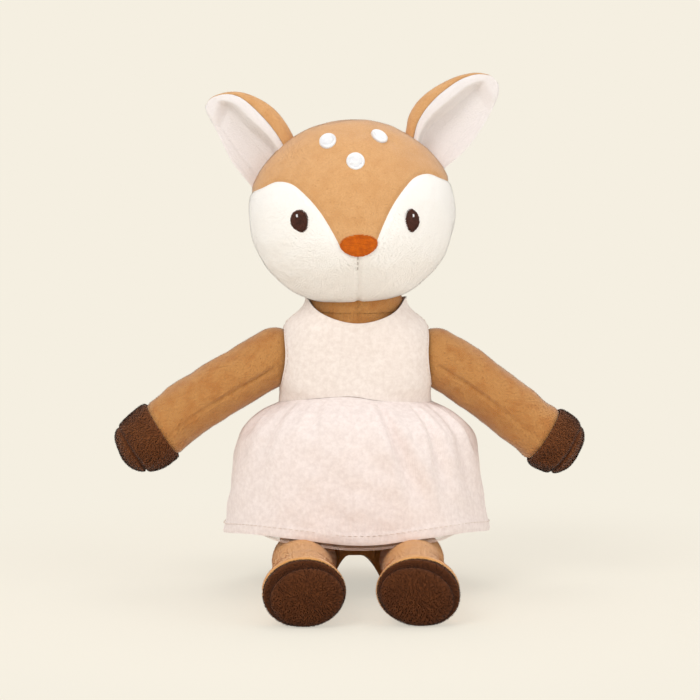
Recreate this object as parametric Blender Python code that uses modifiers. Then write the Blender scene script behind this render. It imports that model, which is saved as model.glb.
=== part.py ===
"""A seated plush deer in a sleeveless dress, in metres, +Z up, facing -Y.

The origin is the middle of the seat, on the surface that the toy sits on. Left and right are the
toy's own, so its left side is at +X. Every cover is a wall of plush round its own filling, and
each limb, the head, the ears and the tail turn about the seam where they are sewn on.
"""

from math import cos, pi, radians, sin, sqrt, tan

import bmesh
import bpy
import numpy as np
from mathutils import Matrix, Vector

# Cloth and clearances
PLUSH_WALL = 0.0020
CLEARANCE = 0.0004
SEAM_GAP = 0.0004
CUT_OVERRUN = 0.020

# Body cover, a pear that stands flat on its seat
TORSO_HEIGHT = 0.1395
TORSO_HALF_WIDTH = 0.0440
TORSO_HALF_DEPTH = 0.0360
TORSO_FORM_SHARES = (
    (0.00, 0.84, 0.82),
    (0.03, 0.93, 0.92),
    (0.09, 0.985, 0.98),
    (0.20, 1.00, 1.00),
    (0.38, 0.95, 0.96),
    (0.58, 0.865, 0.87),
    (0.78, 0.79, 0.79),
    (0.90, 0.75, 0.745),
    (0.96, 0.715, 0.705),
    (1.00, 0.60, 0.66),
)
TORSO_AROUND = 20
FILLING_HOLE_RADIUS = 0.0110
PELLET_BAG_HALF_WIDTH = 0.0240
PELLET_BAG_HALF_DEPTH = 0.0150
PELLET_BAG_HEIGHT = 0.0200
PELLET_BAG_BACK = 0.0080
PELLET_BAG_FLAT_SHARE = 0.35

# Neck, turned, with a round head that the head sits on
NECK_RADIUS = 0.0232
NECK_HEIGHT = 0.0032
NECK_SHOULDER_SHARE = 0.86
NECK_SHOULDER_RISE = 0.0018
NECK_BALL_RADIUS = 0.0190
NECK_BALL_RISE = 0.0105
NECK_AROUND = 20

# Head, a rounded box of an ellipsoid with a low muzzle
HEAD_HALF_WIDTH = 0.0515
HEAD_HALF_DEPTH = 0.0500
HEAD_HALF_HEIGHT = 0.0455
HEAD_CENTRE_RISE = 0.0530
HEAD_FORWARD = 0.0030
HEAD_ROUNDNESS = 2.25
HEAD_TILT_DEG = 3.0
MUZZLE_REACH = 0.0050
MUZZLE_DROP = 0.0190
MUZZLE_HALF_WIDTH = 0.0200
MUZZLE_HALF_HEIGHT = 0.0190
HEAD_AROUND = 24
HEAD_RINGS = 12
EAR_SEAM_BACK = 0.0070
FOREHEAD_OUTLINE_SHARES = (
    (0.176, -0.36),
    (0.190, -0.30),
    (0.264, -0.125),
    (0.355, 0.055),
    (0.478, 0.231),
    (0.602, 0.352),
    (0.738, 0.380),
    (0.874, 0.319),
    (1.100, 0.150),
)
OUTLINE_TOP_SHARE = 1.2

# Embroidery on the face, thin pads of thread on the plush
THREAD_HEIGHT = 0.0008
NOSE_HALF_WIDTH = 0.0094
NOSE_HALF_HEIGHT = 0.0053
NOSE_DROP = 0.0158
NOSE_TAPER = 0.34
EYE_HALF_WIDTH = 0.0046
EYE_HALF_HEIGHT = 0.0060
EYE_SPACING = 0.0273
EYE_DROP = 0.0038
EYE_POINT_SHARE = 0.38
SPOT_HALF_WIDTH = 0.0044
SPOT_HALF_HEIGHT = 0.0037
SPOT_SPACING = 0.0127
SPOT_RISE = 0.0360
MIDDLE_SPOT_HALF_WIDTH = 0.0046
MIDDLE_SPOT_RISE = 0.0253
STITCH_HALF_WIDTH = 0.0007
STITCH_HALF_HEIGHT = 0.0042
STITCH_DROP = 0.0262
PATCH_AROUND = 12
PATCH_RINGS = 2

# Ears, two leaves of plush sewn together, cupped to the front
EAR_LENGTH = 0.0460
EAR_HALF_WIDTH = 0.0155
EAR_ROOT_HALF_WIDTH = 0.0105
EAR_CUP = 0.0050
EAR_BACK_WALL = 0.0020
EAR_LINING_WALL = 0.0016
EAR_LEAN_DEG = 54.0
EAR_SEAT_DEG = 36.5
EAR_STANDOFF = 0.0021
EAR_ROOT_DEPTH = 0.0012
EAR_WIDTH_SHARES = (
    (0.0, 0.72),
    (0.15, 0.86),
    (0.35, 0.99),
    (0.5, 1.0),
    (0.7, 0.91),
    (0.86, 0.72),
    (0.95, 0.48),
    (1.0, 0.2),
)
EAR_ALONG = 9
EAR_ACROSS = 6

# Arms, with a hoof sewn on as a cap
SHOULDER_SIDE = 0.0395
SHOULDER_DROP = 0.0223
SHOULDER_FORWARD = 0.0020
ARM_DROP_DEG = 32.5
ARM_LENGTH = 0.0940
ARM_ROOT_RADIUS = 0.0134
ARM_FORM_SHARES = ((0.0, 1.0), (0.24, 1.01), (0.5, 1.06), (0.66, 1.11), (0.732, 1.14))
ARM_HOOF_RADIUS = 0.0162
ARM_HOOF_SHARES = ((0.737, 0.955), (0.79, 1.0), (0.86, 1.0), (0.925, 0.86), (0.97, 0.58))
LIMB_AROUND = 14
LIMB_DOME_RINGS = 4
WAD_RINGS = 6
FILLING_TIP_SHARE = 0.7
FILLING_SLACK = 1.15
FILLING_AROUND = 10
ARM_SWEEP_DEG = 46.0

# Legs, pointing straight ahead of the seat, with a hoof sewn on as a cap
HIP_SIDE = 0.0270
HIP_FORWARD = 0.0280
HIP_HEIGHT = 0.0170
LEG_LENGTH = 0.0880
LEG_ROOT_RADIUS = 0.0162
LEG_FORM_SHARES = (
    (0.0, 1.0, 1.0, 0.0),
    (0.2, 0.955, 0.945, -0.02),
    (0.42, 0.925, 0.915, -0.045),
    (0.62, 1.0, 0.94, -0.06),
    (0.78, 1.2, 0.98, -0.08),
    (0.845, 1.225, 0.99, -0.09),
    (0.865, 1.19, 0.985, -0.092),
)
LEG_HOOF_HALF_WIDTH = 0.0192
LEG_HOOF_HALF_HEIGHT = 0.0158
LEG_HOOF_SHARES = (
    (0.87, 0.985, 0.99, -0.095),
    (0.91, 1.0, 1.0, -0.1),
    (0.955, 0.95, 0.95, -0.1),
    (0.987, 0.76, 0.76, -0.1),
)
LEG_WEB_HALF_WIDTH = 0.0092

# Dress bodice
LINEN_WALL = 0.0013
WAIST_DROP = 0.0227
WAIST_FRONT_RISE = 0.0050
BODICE_TOP_RISE = 0.0060
BODICE_SHOULDER_SHARES = ((0.30, 0.965, 0.975), (0.58, 0.80, 0.955), (1.0, 0.755, 0.935))
BODICE_SHOULDER_HALF_WIDTH = 0.0335
BODICE_SHOULDER_HALF_DEPTH = 0.0270
BODICE_SHOULDER_FOOT_SHARE = 0.955
NECKLINE_RADIUS = 0.0285
NECKLINE_RISE = 0.0010
NECKLINE_TILT_DEG = 8.0
ARMHOLE_RADIUS = 0.0174
ARMHOLE_RISE = 0.0020
TAPE_WALL = 0.0008
TAPE_HALF_WIDTH = 0.0040
PLACKET_HALF_WIDTH = 0.0065
PLACKET_MARGIN = 0.0040

# Dress skirt, gathered into the waist, and the net underskirt below it
SKIRT_HEM_HALF_WIDTH = 0.0687
SKIRT_HEM_HALF_DEPTH = 0.0580
SKIRT_FORM_SHARES = (
    (0.0, 0.575, 0.54),
    (0.05, 0.665, 0.66),
    (0.11, 0.745, 0.755),
    (0.20, 0.825, 0.84),
    (0.33, 0.885, 0.895),
    (0.52, 0.925, 0.935),
    (0.76, 0.965, 0.97),
    (1.0, 1.0, 1.0),
)
SKIRT_AROUND = 50
SKIRT_FOLDS = 10
SKIRT_FOLD_DEPTH = 0.0021
HEM_SIDE_HEIGHT = 0.0284
HEM_OVER_LEGS_HEIGHT = 0.0340
HEM_BETWEEN_LEGS_HEIGHT = 0.0300
HEM_LEG_START_DEG = 8.0
HEM_LEG_FULL_DEG = 16.0
HEM_LEG_END_DEG = 48.0
HEM_SIDE_DEG = 70.0
NET_WALL = 0.0006
NET_GAP = 0.0006
NET_AROUND = 30
NET_HANG = 0.0016
NET_TOP_SHARE = 0.52

# Tail, under the back of the skirt
TAIL_ROOT_RADIUS = 0.0036
TAIL_LENGTH = 0.0190
TAIL_HEIGHT = 0.0420
TAIL_LEAN_DEG = 80.0
TAIL_FORM_SHARES = ((0.0, 1.0), (0.3, 1.12), (0.6, 1.15), (0.84, 0.85), (0.96, 0.4), (1.0, 0.0))
TAIL_AROUND = 10


# Places that follow from the sizes
SHOULDER_HEIGHT = TORSO_HEIGHT - SHOULDER_DROP
WAIST_HEIGHT = SHOULDER_HEIGHT - WAIST_DROP
BODICE_TOP_HEIGHT = TORSO_HEIGHT + BODICE_TOP_RISE
NECKLINE_HEIGHT = TORSO_HEIGHT + NECKLINE_RISE
NECK_SEAM_HEIGHT = TORSO_HEIGHT + SEAM_GAP
NECK_BALL_CENTRE = Vector((0.0, 0.0, NECK_SEAM_HEIGHT + NECK_BALL_RISE))
HEAD_CENTRE = Vector((0.0, -HEAD_FORWARD, TORSO_HEIGHT + HEAD_CENTRE_RISE))
HEAD_SIZE = np.array((HEAD_HALF_WIDTH, HEAD_HALF_DEPTH, HEAD_HALF_HEIGHT))

CARAMEL = (0.50, 0.235, 0.095)
PALE_CARAMEL = (0.70, 0.38, 0.16)
CREAM = (0.93, 0.89, 0.83)
HOOF_BROWN = (0.075, 0.032, 0.016)
LINEN = (0.87, 0.77, 0.71)
NET_PINK = (0.80, 0.68, 0.62)
THREAD_ORANGE = (0.56, 0.13, 0.008)
THREAD_BROWN = (0.045, 0.017, 0.010)
THREAD_WHITE = (0.86, 0.85, 0.86)
FILLING_WHITE = (0.88, 0.88, 0.86)
PELLET_GREY = (0.55, 0.55, 0.53)
TAPE_CREAM = (0.80, 0.76, 0.70)


def clear_scene():
    """Empties the scene and makes the collections of the toy and of its cutters."""
    for item in list(bpy.data.objects):
        bpy.data.objects.remove(item, do_unlink=True)
    collections = []
    for name in ("plush_deer", "cutters"):
        made = bpy.data.collections.new(name)
        bpy.context.scene.collection.children.link(made)
        collections.append(made)
    collections[1].hide_render = True
    return collections


def finish_material(name, colour, roughness):
    """A Principled material of one colour, with no metal in it."""
    made = bpy.data.materials.new(name + "_material")
    made.use_nodes = True
    shader = made.node_tree.nodes["Principled BSDF"]
    shader.inputs["Base Color"].default_value = (*colour, 1.0)
    shader.inputs["Roughness"].default_value = roughness
    shader.inputs["Metallic"].default_value = 0.0
    made.diffuse_color = (*colour, 1.0)
    return made


def new_object(name, mesh, collection, colour=None, roughness=0.9):
    """Links a mesh as an object. One without a colour is a cutter."""
    made = bpy.data.objects.new(name, mesh)
    collection.objects.link(made)
    if colour is None:
        made.hide_render = True
        made.display_type = "WIRE"
    else:
        mesh.materials.append(finish_material(name, colour, roughness))
        mesh.shade_smooth()
        mesh.set_sharp_from_angle(angle=radians(50.0))
    return made


def mesh_from_bmesh(name, shape):
    """Writes a bmesh to a new mesh with its faces turned outwards."""
    bmesh.ops.recalc_face_normals(shape, faces=shape.faces)
    mesh = bpy.data.meshes.new(name)
    shape.to_mesh(mesh)
    shape.free()
    return mesh


def loft_mesh(name, rings, start="open", end="open"):
    """A loft through rings of points. Each end is open, flat, or a point given as a vector."""
    shape = bmesh.new()
    rows = [[shape.verts.new(point) for point in ring] for ring in rings]
    for row, following in zip(rows, rows[1:]):
        for index in range(len(row)):
            after = (index + 1) % len(row)
            shape.faces.new((row[index], row[after], following[after], following[index]))
    for row, close in ((rows[0], start), (rows[-1], end)):
        if isinstance(close, str):
            if close == "flat":
                shape.faces.new(row)
            continue
        tip = shape.verts.new(close)
        for index in range(len(row)):
            shape.faces.new((row[index], row[(index + 1) % len(row)], tip))
    return mesh_from_bmesh(name, shape)


def grid_mesh(name, rows):
    """An open sheet through a grid of points."""
    shape = bmesh.new()
    made = [[shape.verts.new(point) for point in row] for row in rows]
    for row, following in zip(made, made[1:]):
        for index in range(len(row) - 1):
            shape.faces.new((row[index], row[index + 1], following[index + 1], following[index]))
    mesh = bpy.data.meshes.new(name)
    shape.to_mesh(mesh)
    shape.free()
    return mesh


def sphere_mesh(name, radius, around, rings):
    """A round ball about its own origin."""
    shape = bmesh.new()
    bmesh.ops.create_uvsphere(shape, u_segments=around, v_segments=rings, radius=radius)
    return mesh_from_bmesh(name, shape)


def box_object(name, low, high, collection):
    """A cutter box between two corners."""
    shape = bmesh.new()
    bmesh.ops.create_cube(shape, size=1.0)
    size = Vector(high) - Vector(low)
    bmesh.ops.scale(shape, vec=size, verts=shape.verts)
    bmesh.ops.translate(shape, vec=(Vector(low) + Vector(high)) / 2, verts=shape.verts)
    return new_object(name, mesh_from_bmesh(name, shape), collection)


def solidify(item, thickness, outward=False):
    """Gives an open surface its wall, on the inner side unless told otherwise."""
    wall = item.modifiers.new("wall", "SOLIDIFY")
    wall.thickness = thickness
    wall.offset = 1.0 if outward else -1.0
    wall.use_even_offset = True


def cut(item, cutter, operation="DIFFERENCE"):
    """Cuts one object with another, exactly."""
    made = item.modifiers.new(f"{operation.lower()}_{cutter.name}", "BOOLEAN")
    made.operation = operation
    made.solver = "EXACT"
    made.object = cutter


def clear_radius(radius, around, rings):
    """A faceted ball's radius, so that its flats stay clear of a round thing turning inside it."""
    return (radius + CLEARANCE) / (cos(pi / around) * cos(pi / (2 * rings)))


def smooth_column(table, column, share):
    """Reads one column of a table of shares on a smooth curve through its rows."""
    places = np.array([row[0] for row in table])
    values = np.array([row[column] for row in table])
    slopes = np.gradient(values, places)
    index = int(np.clip(np.searchsorted(places, share) - 1, 0, len(places) - 2))
    span = places[index + 1] - places[index]
    part = min(max((share - places[index]) / span, 0.0), 1.0)
    rise = values[index + 1] - values[index]
    bend_start = slopes[index] * span - rise
    bend_end = rise - slopes[index + 1] * span
    straight = values[index] + rise * part
    return straight + part * (1 - part) * (bend_start * (1 - part) + bend_end * part)


def oval_ring(centre, half_width, half_depth, around):
    """A level oval, starting at +X."""
    return [
        (
            centre[0] + half_width * cos(2 * pi * step / around),
            centre[1] + half_depth * sin(2 * pi * step / around),
            centre[2],
        )
        for step in range(around)
    ]


def torso_half_sizes(height):
    """Half width and half depth of the body cover's outside at a height."""
    share = height / TORSO_HEIGHT
    return (
        TORSO_HALF_WIDTH * smooth_column(TORSO_FORM_SHARES, 1, share),
        TORSO_HALF_DEPTH * smooth_column(TORSO_FORM_SHARES, 2, share),
    )


def torso_solid(name, inset, collection, colour=None):
    """The closed pear of the body, drawn in by an inset on every side."""
    rings = []
    for share, _, _ in TORSO_FORM_SHARES:
        half_width, half_depth = torso_half_sizes(share * TORSO_HEIGHT)
        height = inset + share * (TORSO_HEIGHT - 2 * inset)
        rings.append(
            oval_ring((0.0, 0.0, height), half_width - inset, half_depth - inset, TORSO_AROUND)
        )
    return new_object(name, loft_mesh(name, rings, "flat", "flat"), collection, colour)


def prism_from_outline(name, points, half_length, collection):
    """A flat outline in X and Y, extruded both ways along Z, as a mesh."""
    curve = bpy.data.curves.new(name + "_outline", "CURVE")
    curve.dimensions = "2D"
    curve.fill_mode = "BOTH"
    curve.extrude = half_length
    spline = curve.splines.new("POLY")
    spline.points.add(len(points) - 1)
    for target, (across, up) in zip(spline.points, points):
        target.co = (across, up, 0.0, 1.0)
    spline.use_cyclic_u = True
    guide = bpy.data.objects.new(name + "_guide", curve)
    collection.objects.link(guide)
    bpy.context.view_layer.update()
    graph = bpy.context.evaluated_depsgraph_get()
    mesh = bpy.data.meshes.new_from_object(guide.evaluated_get(graph))
    bpy.data.objects.remove(guide, do_unlink=True)
    shape = bmesh.new()
    shape.from_mesh(mesh)
    bmesh.ops.remove_doubles(shape, verts=shape.verts, dist=CLEARANCE / 10)
    bmesh.ops.recalc_face_normals(shape, faces=shape.faces)
    shape.to_mesh(mesh)
    shape.free()
    return new_object(name, mesh, collection)


def leg_notch(side, grow, collection):
    """The room that a leg's round root needs in the body, open to the front, below and outside.

    Seen from the side it is a quarter round about the hip, with straight edges to the front and
    straight down, so that the leg can swing from its seat to hang.
    """
    steps = 5
    radius = (LEG_ROOT_RADIUS + CLEARANCE) / cos(pi / (4 * steps)) + grow
    far = LEG_LENGTH
    outline = [(-HIP_FORWARD - far, HIP_HEIGHT + radius)]
    outline += [
        (
            -HIP_FORWARD + radius * sin(pi / 2 * step / steps),
            HIP_HEIGHT + radius * cos(pi / 2 * step / steps),
        )
        for step in range(steps + 1)
    ]
    outline += [(-HIP_FORWARD + radius, -far), (-HIP_FORWARD - far, -far)]
    name = f"{side}_leg_notch_{'outer' if grow == 0 else 'inner'}_{round(grow / CLEARANCE)}"
    made = prism_from_outline(name, outline, far / 2, collection)
    sign = 1 if side == "left" else -1
    inner_edge = LEG_WEB_HALF_WIDTH - grow
    turned = Matrix(((0, 0, 1, 0), (1, 0, 0, 0), (0, 1, 0, 0), (0, 0, 0, 1)))
    made.matrix_world = Matrix.Translation((sign * (inner_edge + far / 2), 0.0, 0.0)) @ turned
    return made


def turned_object(name, profile, around, collection, colour=None):
    """A profile of (radius, height) pairs, top to bottom, turned about Z with a Screw modifier."""
    mesh = bpy.data.meshes.new(name)
    edges = [(index, index + 1) for index in range(len(profile) - 1)]
    mesh.from_pydata([(radius, 0.0, height) for radius, height in profile], edges, [])
    made = new_object(name, mesh, collection, colour)
    screw = made.modifiers.new("turn", "SCREW")
    screw.steps = around
    screw.render_steps = around
    screw.use_merge_vertices = True
    screw.merge_threshold = CLEARANCE / 10
    screw.use_smooth_shade = True
    return made


def arc_profile(radius, start_deg, end_deg, steps, lift=0.0):
    """Points of a turned ball from one latitude to another, a pole being 90 degrees."""
    points = []
    for step in range(steps + 1):
        angle = radians(start_deg + (end_deg - start_deg) * step / steps)
        across = 0.0 if abs(abs(angle) - pi / 2) < radians(0.01) else radius * cos(angle)
        points.append((across, lift + radius * sin(angle)))
    return points


def shoulder_place(side):
    """The point that an arm turns about."""
    sign = 1 if side == "left" else -1
    return Vector((sign * SHOULDER_SIDE, -SHOULDER_FORWARD, SHOULDER_HEIGHT))


def hip_place(side):
    """The point that a leg turns about."""
    sign = 1 if side == "left" else -1
    return Vector((sign * HIP_SIDE, -HIP_FORWARD, HIP_HEIGHT))


def arm_sweep(side, grow, collection):
    """The room that an arm's round root needs in the body: a ball that opens into a cone."""
    steps = 3
    around = LIMB_AROUND
    radius = clear_radius(ARM_ROOT_RADIUS, around, 4 * steps) + grow
    reach = ARM_LENGTH / 4
    edge_radius = radius * cos(radians(ARM_SWEEP_DEG))
    edge_depth = radius * sin(radians(ARM_SWEEP_DEG))
    mouth = edge_radius + (reach + edge_depth) * tan(radians(ARM_SWEEP_DEG))
    profile = [(0.0, reach), (mouth, reach)]
    profile += arc_profile(radius, -ARM_SWEEP_DEG, -90.0, steps)
    name = f"{side}_arm_sweep_{'outer' if grow == 0 else 'inner'}_{round(grow / CLEARANCE)}"
    made = turned_object(name, profile, around, collection)
    sign = 1 if side == "left" else -1
    made.matrix_world = Matrix.Translation(shoulder_place(side)) @ Matrix.Rotation(
        sign * pi / 2, 4, "Y"
    )
    return made


def make_body(parts, cutters):
    """The body cover, hollow, its filling, and a bag of pellets in the seat."""
    cover = torso_solid("body_cover", 0.0, parts, CARAMEL)
    hollow = torso_solid("body_hollow", PLUSH_WALL, cutters)
    filling = torso_solid("body_stuffing", PLUSH_WALL + CLEARANCE, parts, FILLING_WHITE)
    for side in ("left", "right"):
        for item, grow in (
            (cover, 0.0),
            (hollow, PLUSH_WALL),
            (filling, PLUSH_WALL + CLEARANCE),
        ):
            cut(item, leg_notch(side, grow, cutters))
            cut(item, arm_sweep(side, grow, cutters))
    cut(cover, hollow)
    opening = turned_object(
        "filling_hole",
        [
            (0.0, CUT_OVERRUN),
            (FILLING_HOLE_RADIUS, CUT_OVERRUN),
            (FILLING_HOLE_RADIUS, -PLUSH_WALL - CLEARANCE),
            (0.0, -PLUSH_WALL - CLEARANCE),
        ],
        LIMB_AROUND,
        cutters,
    )
    opening.location = (0.0, 0.0, TORSO_HEIGHT)
    cut(cover, opening)
    for name, grow, collection, colour in (
        ("seat_pellet_bag", 0.0, parts, PELLET_GREY),
        ("pellet_pocket", CLEARANCE, cutters, None),
    ):
        mesh = sphere_mesh(name, 1.0, FILLING_AROUND, 8)
        size = (
            PELLET_BAG_HALF_WIDTH + grow,
            PELLET_BAG_HALF_DEPTH + grow,
            PELLET_BAG_HEIGHT / 2 + grow,
        )
        mesh.transform(Matrix.Diagonal((*size, 1.0)))
        bag = new_object(name, mesh, collection, colour)
        middle = (1 - PELLET_BAG_FLAT_SHARE) * PELLET_BAG_HEIGHT / 2
        bag.location = (0.0, PELLET_BAG_BACK, PLUSH_WALL + CLEARANCE + middle)
        if colour:
            far = TORSO_HEIGHT
            floor = (far, far, PLUSH_WALL + CLEARANCE)
            cut(bag, box_object("seat_floor_block", (-far, -far, -far), floor, cutters))
    cut(filling, bag)


def make_neck(parts):
    """The neck, a turned stub with a round head. Its origin is the point that the head nods on."""
    foot = -NECK_BALL_RISE
    top = foot + NECK_HEIGHT
    shoulder = top + NECK_SHOULDER_RISE
    shoulder_radius = NECK_RADIUS * NECK_SHOULDER_SHARE
    foot_angle = -degrees_of_drop(shoulder, NECK_BALL_RADIUS)
    profile = arc_profile(NECK_BALL_RADIUS, 90.0, foot_angle, 6)
    profile += [
        (shoulder_radius, shoulder),
        (NECK_RADIUS * (1 + NECK_SHOULDER_SHARE) / 2, top + NECK_SHOULDER_RISE / 2),
        (NECK_RADIUS, top),
        (NECK_RADIUS, foot),
        (0.0, foot),
    ]
    neck = turned_object("neck", profile, NECK_AROUND, parts, CARAMEL)
    neck.location = NECK_BALL_CENTRE


def degrees_of_drop(height, radius):
    """The latitude below the middle of a ball at which it stands at this height, in degrees."""
    return abs(np.degrees(np.arcsin(height / radius)))


def head_point(direction, inset=0.0):
    """The head's outside in one direction from its middle, drawn in by an inset.

    The head is the surface where the coordinates over the half sizes, each to the power of the
    roundness, add up to 1. In front a low swelling stands out as the muzzle.
    """
    size = HEAD_SIZE - inset
    reach = (np.abs(np.array(direction) / size) ** HEAD_ROUNDNESS).sum() ** (-1 / HEAD_ROUNDNESS)
    point = np.array(direction) * reach
    if point[1] < 0:
        across = point[0] / MUZZLE_HALF_WIDTH
        up = (point[2] + MUZZLE_DROP) / MUZZLE_HALF_HEIGHT
        front = min(1.0, -point[1] / (size[1] / 2))
        point[1] -= MUZZLE_REACH * front * np.exp(-(across**2) - up**2)
    return Vector(point) + HEAD_CENTRE


def head_frame(collection):
    """An empty at the point that the head nods on, turned by the head's tilt to its left."""
    frame = bpy.data.objects.new("head_frame", None)
    collection.objects.link(frame)
    frame.matrix_world = Matrix.Translation(NECK_BALL_CENTRE) @ Matrix.Rotation(
        -radians(HEAD_TILT_DEG), 4, "Y"
    )
    return frame


def carry(item, frame):
    """Puts an object that is modelled upright on the tilted head."""
    item.parent = frame
    item.matrix_parent_inverse = Matrix.Translation(-NECK_BALL_CENTRE)


def head_mesh(name, inset, around, rings):
    """The head as a ball whose points are moved out to its surface."""
    shape = bmesh.new()
    bmesh.ops.create_uvsphere(shape, u_segments=around, v_segments=rings, radius=1.0)
    for point in shape.verts:
        point.co = head_point(point.co.normalized(), inset)
    return mesh_from_bmesh(name, shape)


def face_point(across, up, height):
    """A point at a height over the face, straight in front of a place on it."""
    lift = 1.0 - abs(across / HEAD_HALF_WIDTH) ** HEAD_ROUNDNESS
    lift -= abs(up / HEAD_HALF_HEIGHT) ** HEAD_ROUNDNESS
    depth = HEAD_HALF_DEPTH * max(lift, 0.0) ** (1 / HEAD_ROUNDNESS)
    on_face = head_point(Vector((across, -depth, up)).normalized())
    outwards = face_normal(across, depth, up)
    return on_face + outwards * height


def face_normal(across, depth, up):
    """The direction that the face looks in at a place on it."""
    power = HEAD_ROUNDNESS - 1
    return Vector(
        (
            np.sign(across) * abs(across) ** power / HEAD_HALF_WIDTH**HEAD_ROUNDNESS,
            -(depth**power) / HEAD_HALF_DEPTH**HEAD_ROUNDNESS,
            np.sign(up) * abs(up) ** power / HEAD_HALF_HEIGHT**HEAD_ROUNDNESS,
        )
    ).normalized()


def face_patch(name, centre, outline, parts, colour, frame):
    """Embroidery: an outline about a place on the face, laid on its surface as a thin pad."""
    rings = []
    for ring in range(PATCH_RINGS, 0, -1):
        share = ring / PATCH_RINGS
        rings.append(
            [
                face_point(centre[0] + across * share, centre[1] + up * share, CLEARANCE)
                for across, up in outline
            ]
        )
    middle = face_point(centre[0], centre[1], CLEARANCE)
    mesh = loft_mesh(name, rings, "open", middle)
    outwards = face_normal(centre[0], HEAD_HALF_DEPTH / 2, centre[1])
    if mesh.polygons[0].normal.dot(outwards) < 0:
        mesh.flip_normals()
    pad = new_object(name, mesh, parts, colour, 0.55)
    solidify(pad, THREAD_HEIGHT, outward=True)
    carry(pad, frame)


def oval_outline(half_width, half_height, taper=0.0):
    """An oval that is narrower at its foot by a share."""
    points = []
    for step in range(PATCH_AROUND):
        angle = 2 * pi * step / PATCH_AROUND
        width = half_width * (1 + taper * (sin(angle) - 1) / 2)
        points.append((width * cos(angle), half_height * sin(angle)))
    return points


def boxy_outline(half_width, half_height, taper):
    """A rounded block, wider at its top, for the nose."""
    points = []
    for step in range(PATCH_AROUND):
        angle = 2 * pi * (step + 0.5) / PATCH_AROUND
        across = np.sign(cos(angle)) * abs(cos(angle)) ** 0.55
        up = np.sign(sin(angle)) * abs(sin(angle)) ** 0.55
        points.append((half_width * across * (1 + taper * (up - 1) / 2), half_height * up))
    return points


def teardrop_outline(inward):
    """An eye: an oval drawn out to a point at its lower inner side."""
    point_angle = radians(-90.0 + inward * 35.0)
    points = []
    for step in range(PATCH_AROUND):
        angle = 2 * pi * step / PATCH_AROUND + point_angle
        turn = angle - point_angle
        reach = 1.0 + EYE_POINT_SHARE * max(0.0, cos(turn)) ** 6
        points.append(
            (EYE_HALF_WIDTH * reach * cos(angle), EYE_HALF_HEIGHT * reach * sin(angle))
        )
    return points


def forehead_outline(grow):
    """The forehead panel from the front: a blaze from the nose that widens over the brow."""
    right = [
        (share_x * HEAD_HALF_WIDTH + grow, share_z * HEAD_HALF_HEIGHT - grow)
        for share_x, share_z in FOREHEAD_OUTLINE_SHARES
    ]
    top = OUTLINE_TOP_SHARE * HEAD_HALF_HEIGHT
    side = OUTLINE_TOP_SHARE * HEAD_HALF_WIDTH
    left = [(-across, up) for across, up in reversed(right)]
    return right + [(side, top), (-side, top)] + left


def make_head(parts, cutters, frame):
    """Five panels of plush over one filling, parted where the seams run."""
    far = OUTLINE_TOP_SHARE * HEAD_HALF_DEPTH * 2
    socket_rings = NECK_AROUND // 2
    socket_radius = clear_radius(NECK_BALL_RADIUS, NECK_AROUND, socket_rings)
    socket = new_object(
        "neck_socket",
        sphere_mesh("neck_socket", socket_radius, NECK_AROUND, socket_rings),
        cutters,
    )
    socket.location = NECK_BALL_CENTRE
    seam_y = HEAD_CENTRE.y + EAR_SEAM_BACK
    low = HEAD_CENTRE.z - far
    high = HEAD_CENTRE.z + far
    front_outlines = []
    for name, grow in (("forehead_region", 0.0), ("forehead_clearance", SEAM_GAP)):
        region = prism_from_outline(name, forehead_outline(grow), far / 2, cutters)
        region.matrix_world = Matrix.Translation(
            (HEAD_CENTRE.x, seam_y + grow - far / 2, HEAD_CENTRE.z)
        ) @ Matrix.Rotation(pi / 2, 4, "X")
        carry(region, frame)
        front_outlines.append(region)
    blaze, blaze_clearance = front_outlines
    for name, colour in (
        ("forehead_panel", PALE_CARAMEL),
        ("left_cheek_panel", CREAM),
        ("right_cheek_panel", CREAM),
        ("head_back_left", PALE_CARAMEL),
        ("head_back_right", PALE_CARAMEL),
    ):
        panel = new_object(
            name, head_mesh(name, 0.0, HEAD_AROUND, HEAD_RINGS), parts, colour
        )
        solidify(panel, PLUSH_WALL)
        carry(panel, frame)
        if name == "forehead_panel":
            cut(panel, blaze, "INTERSECT")
            continue
        sign = 1 if "left" in name else -1
        sides = sorted((sign * SEAM_GAP / 2, sign * far))
        reach = (-far, seam_y) if "cheek" in name else (seam_y + SEAM_GAP, far)
        region = box_object(
            name + "_region", (sides[0], reach[0], low), (sides[1], reach[1], high), cutters
        )
        carry(region, frame)
        cut(panel, region, "INTERSECT")
        cut(panel, socket)
        if "cheek" in name:
            cut(panel, blaze_clearance)
    filling = new_object(
        "head_stuffing",
        head_mesh("head_stuffing", PLUSH_WALL + CLEARANCE, HEAD_AROUND // 2, HEAD_RINGS // 2),
        parts,
        FILLING_WHITE,
    )
    carry(filling, frame)
    cut(filling, socket)
    make_face(parts, frame)


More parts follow.
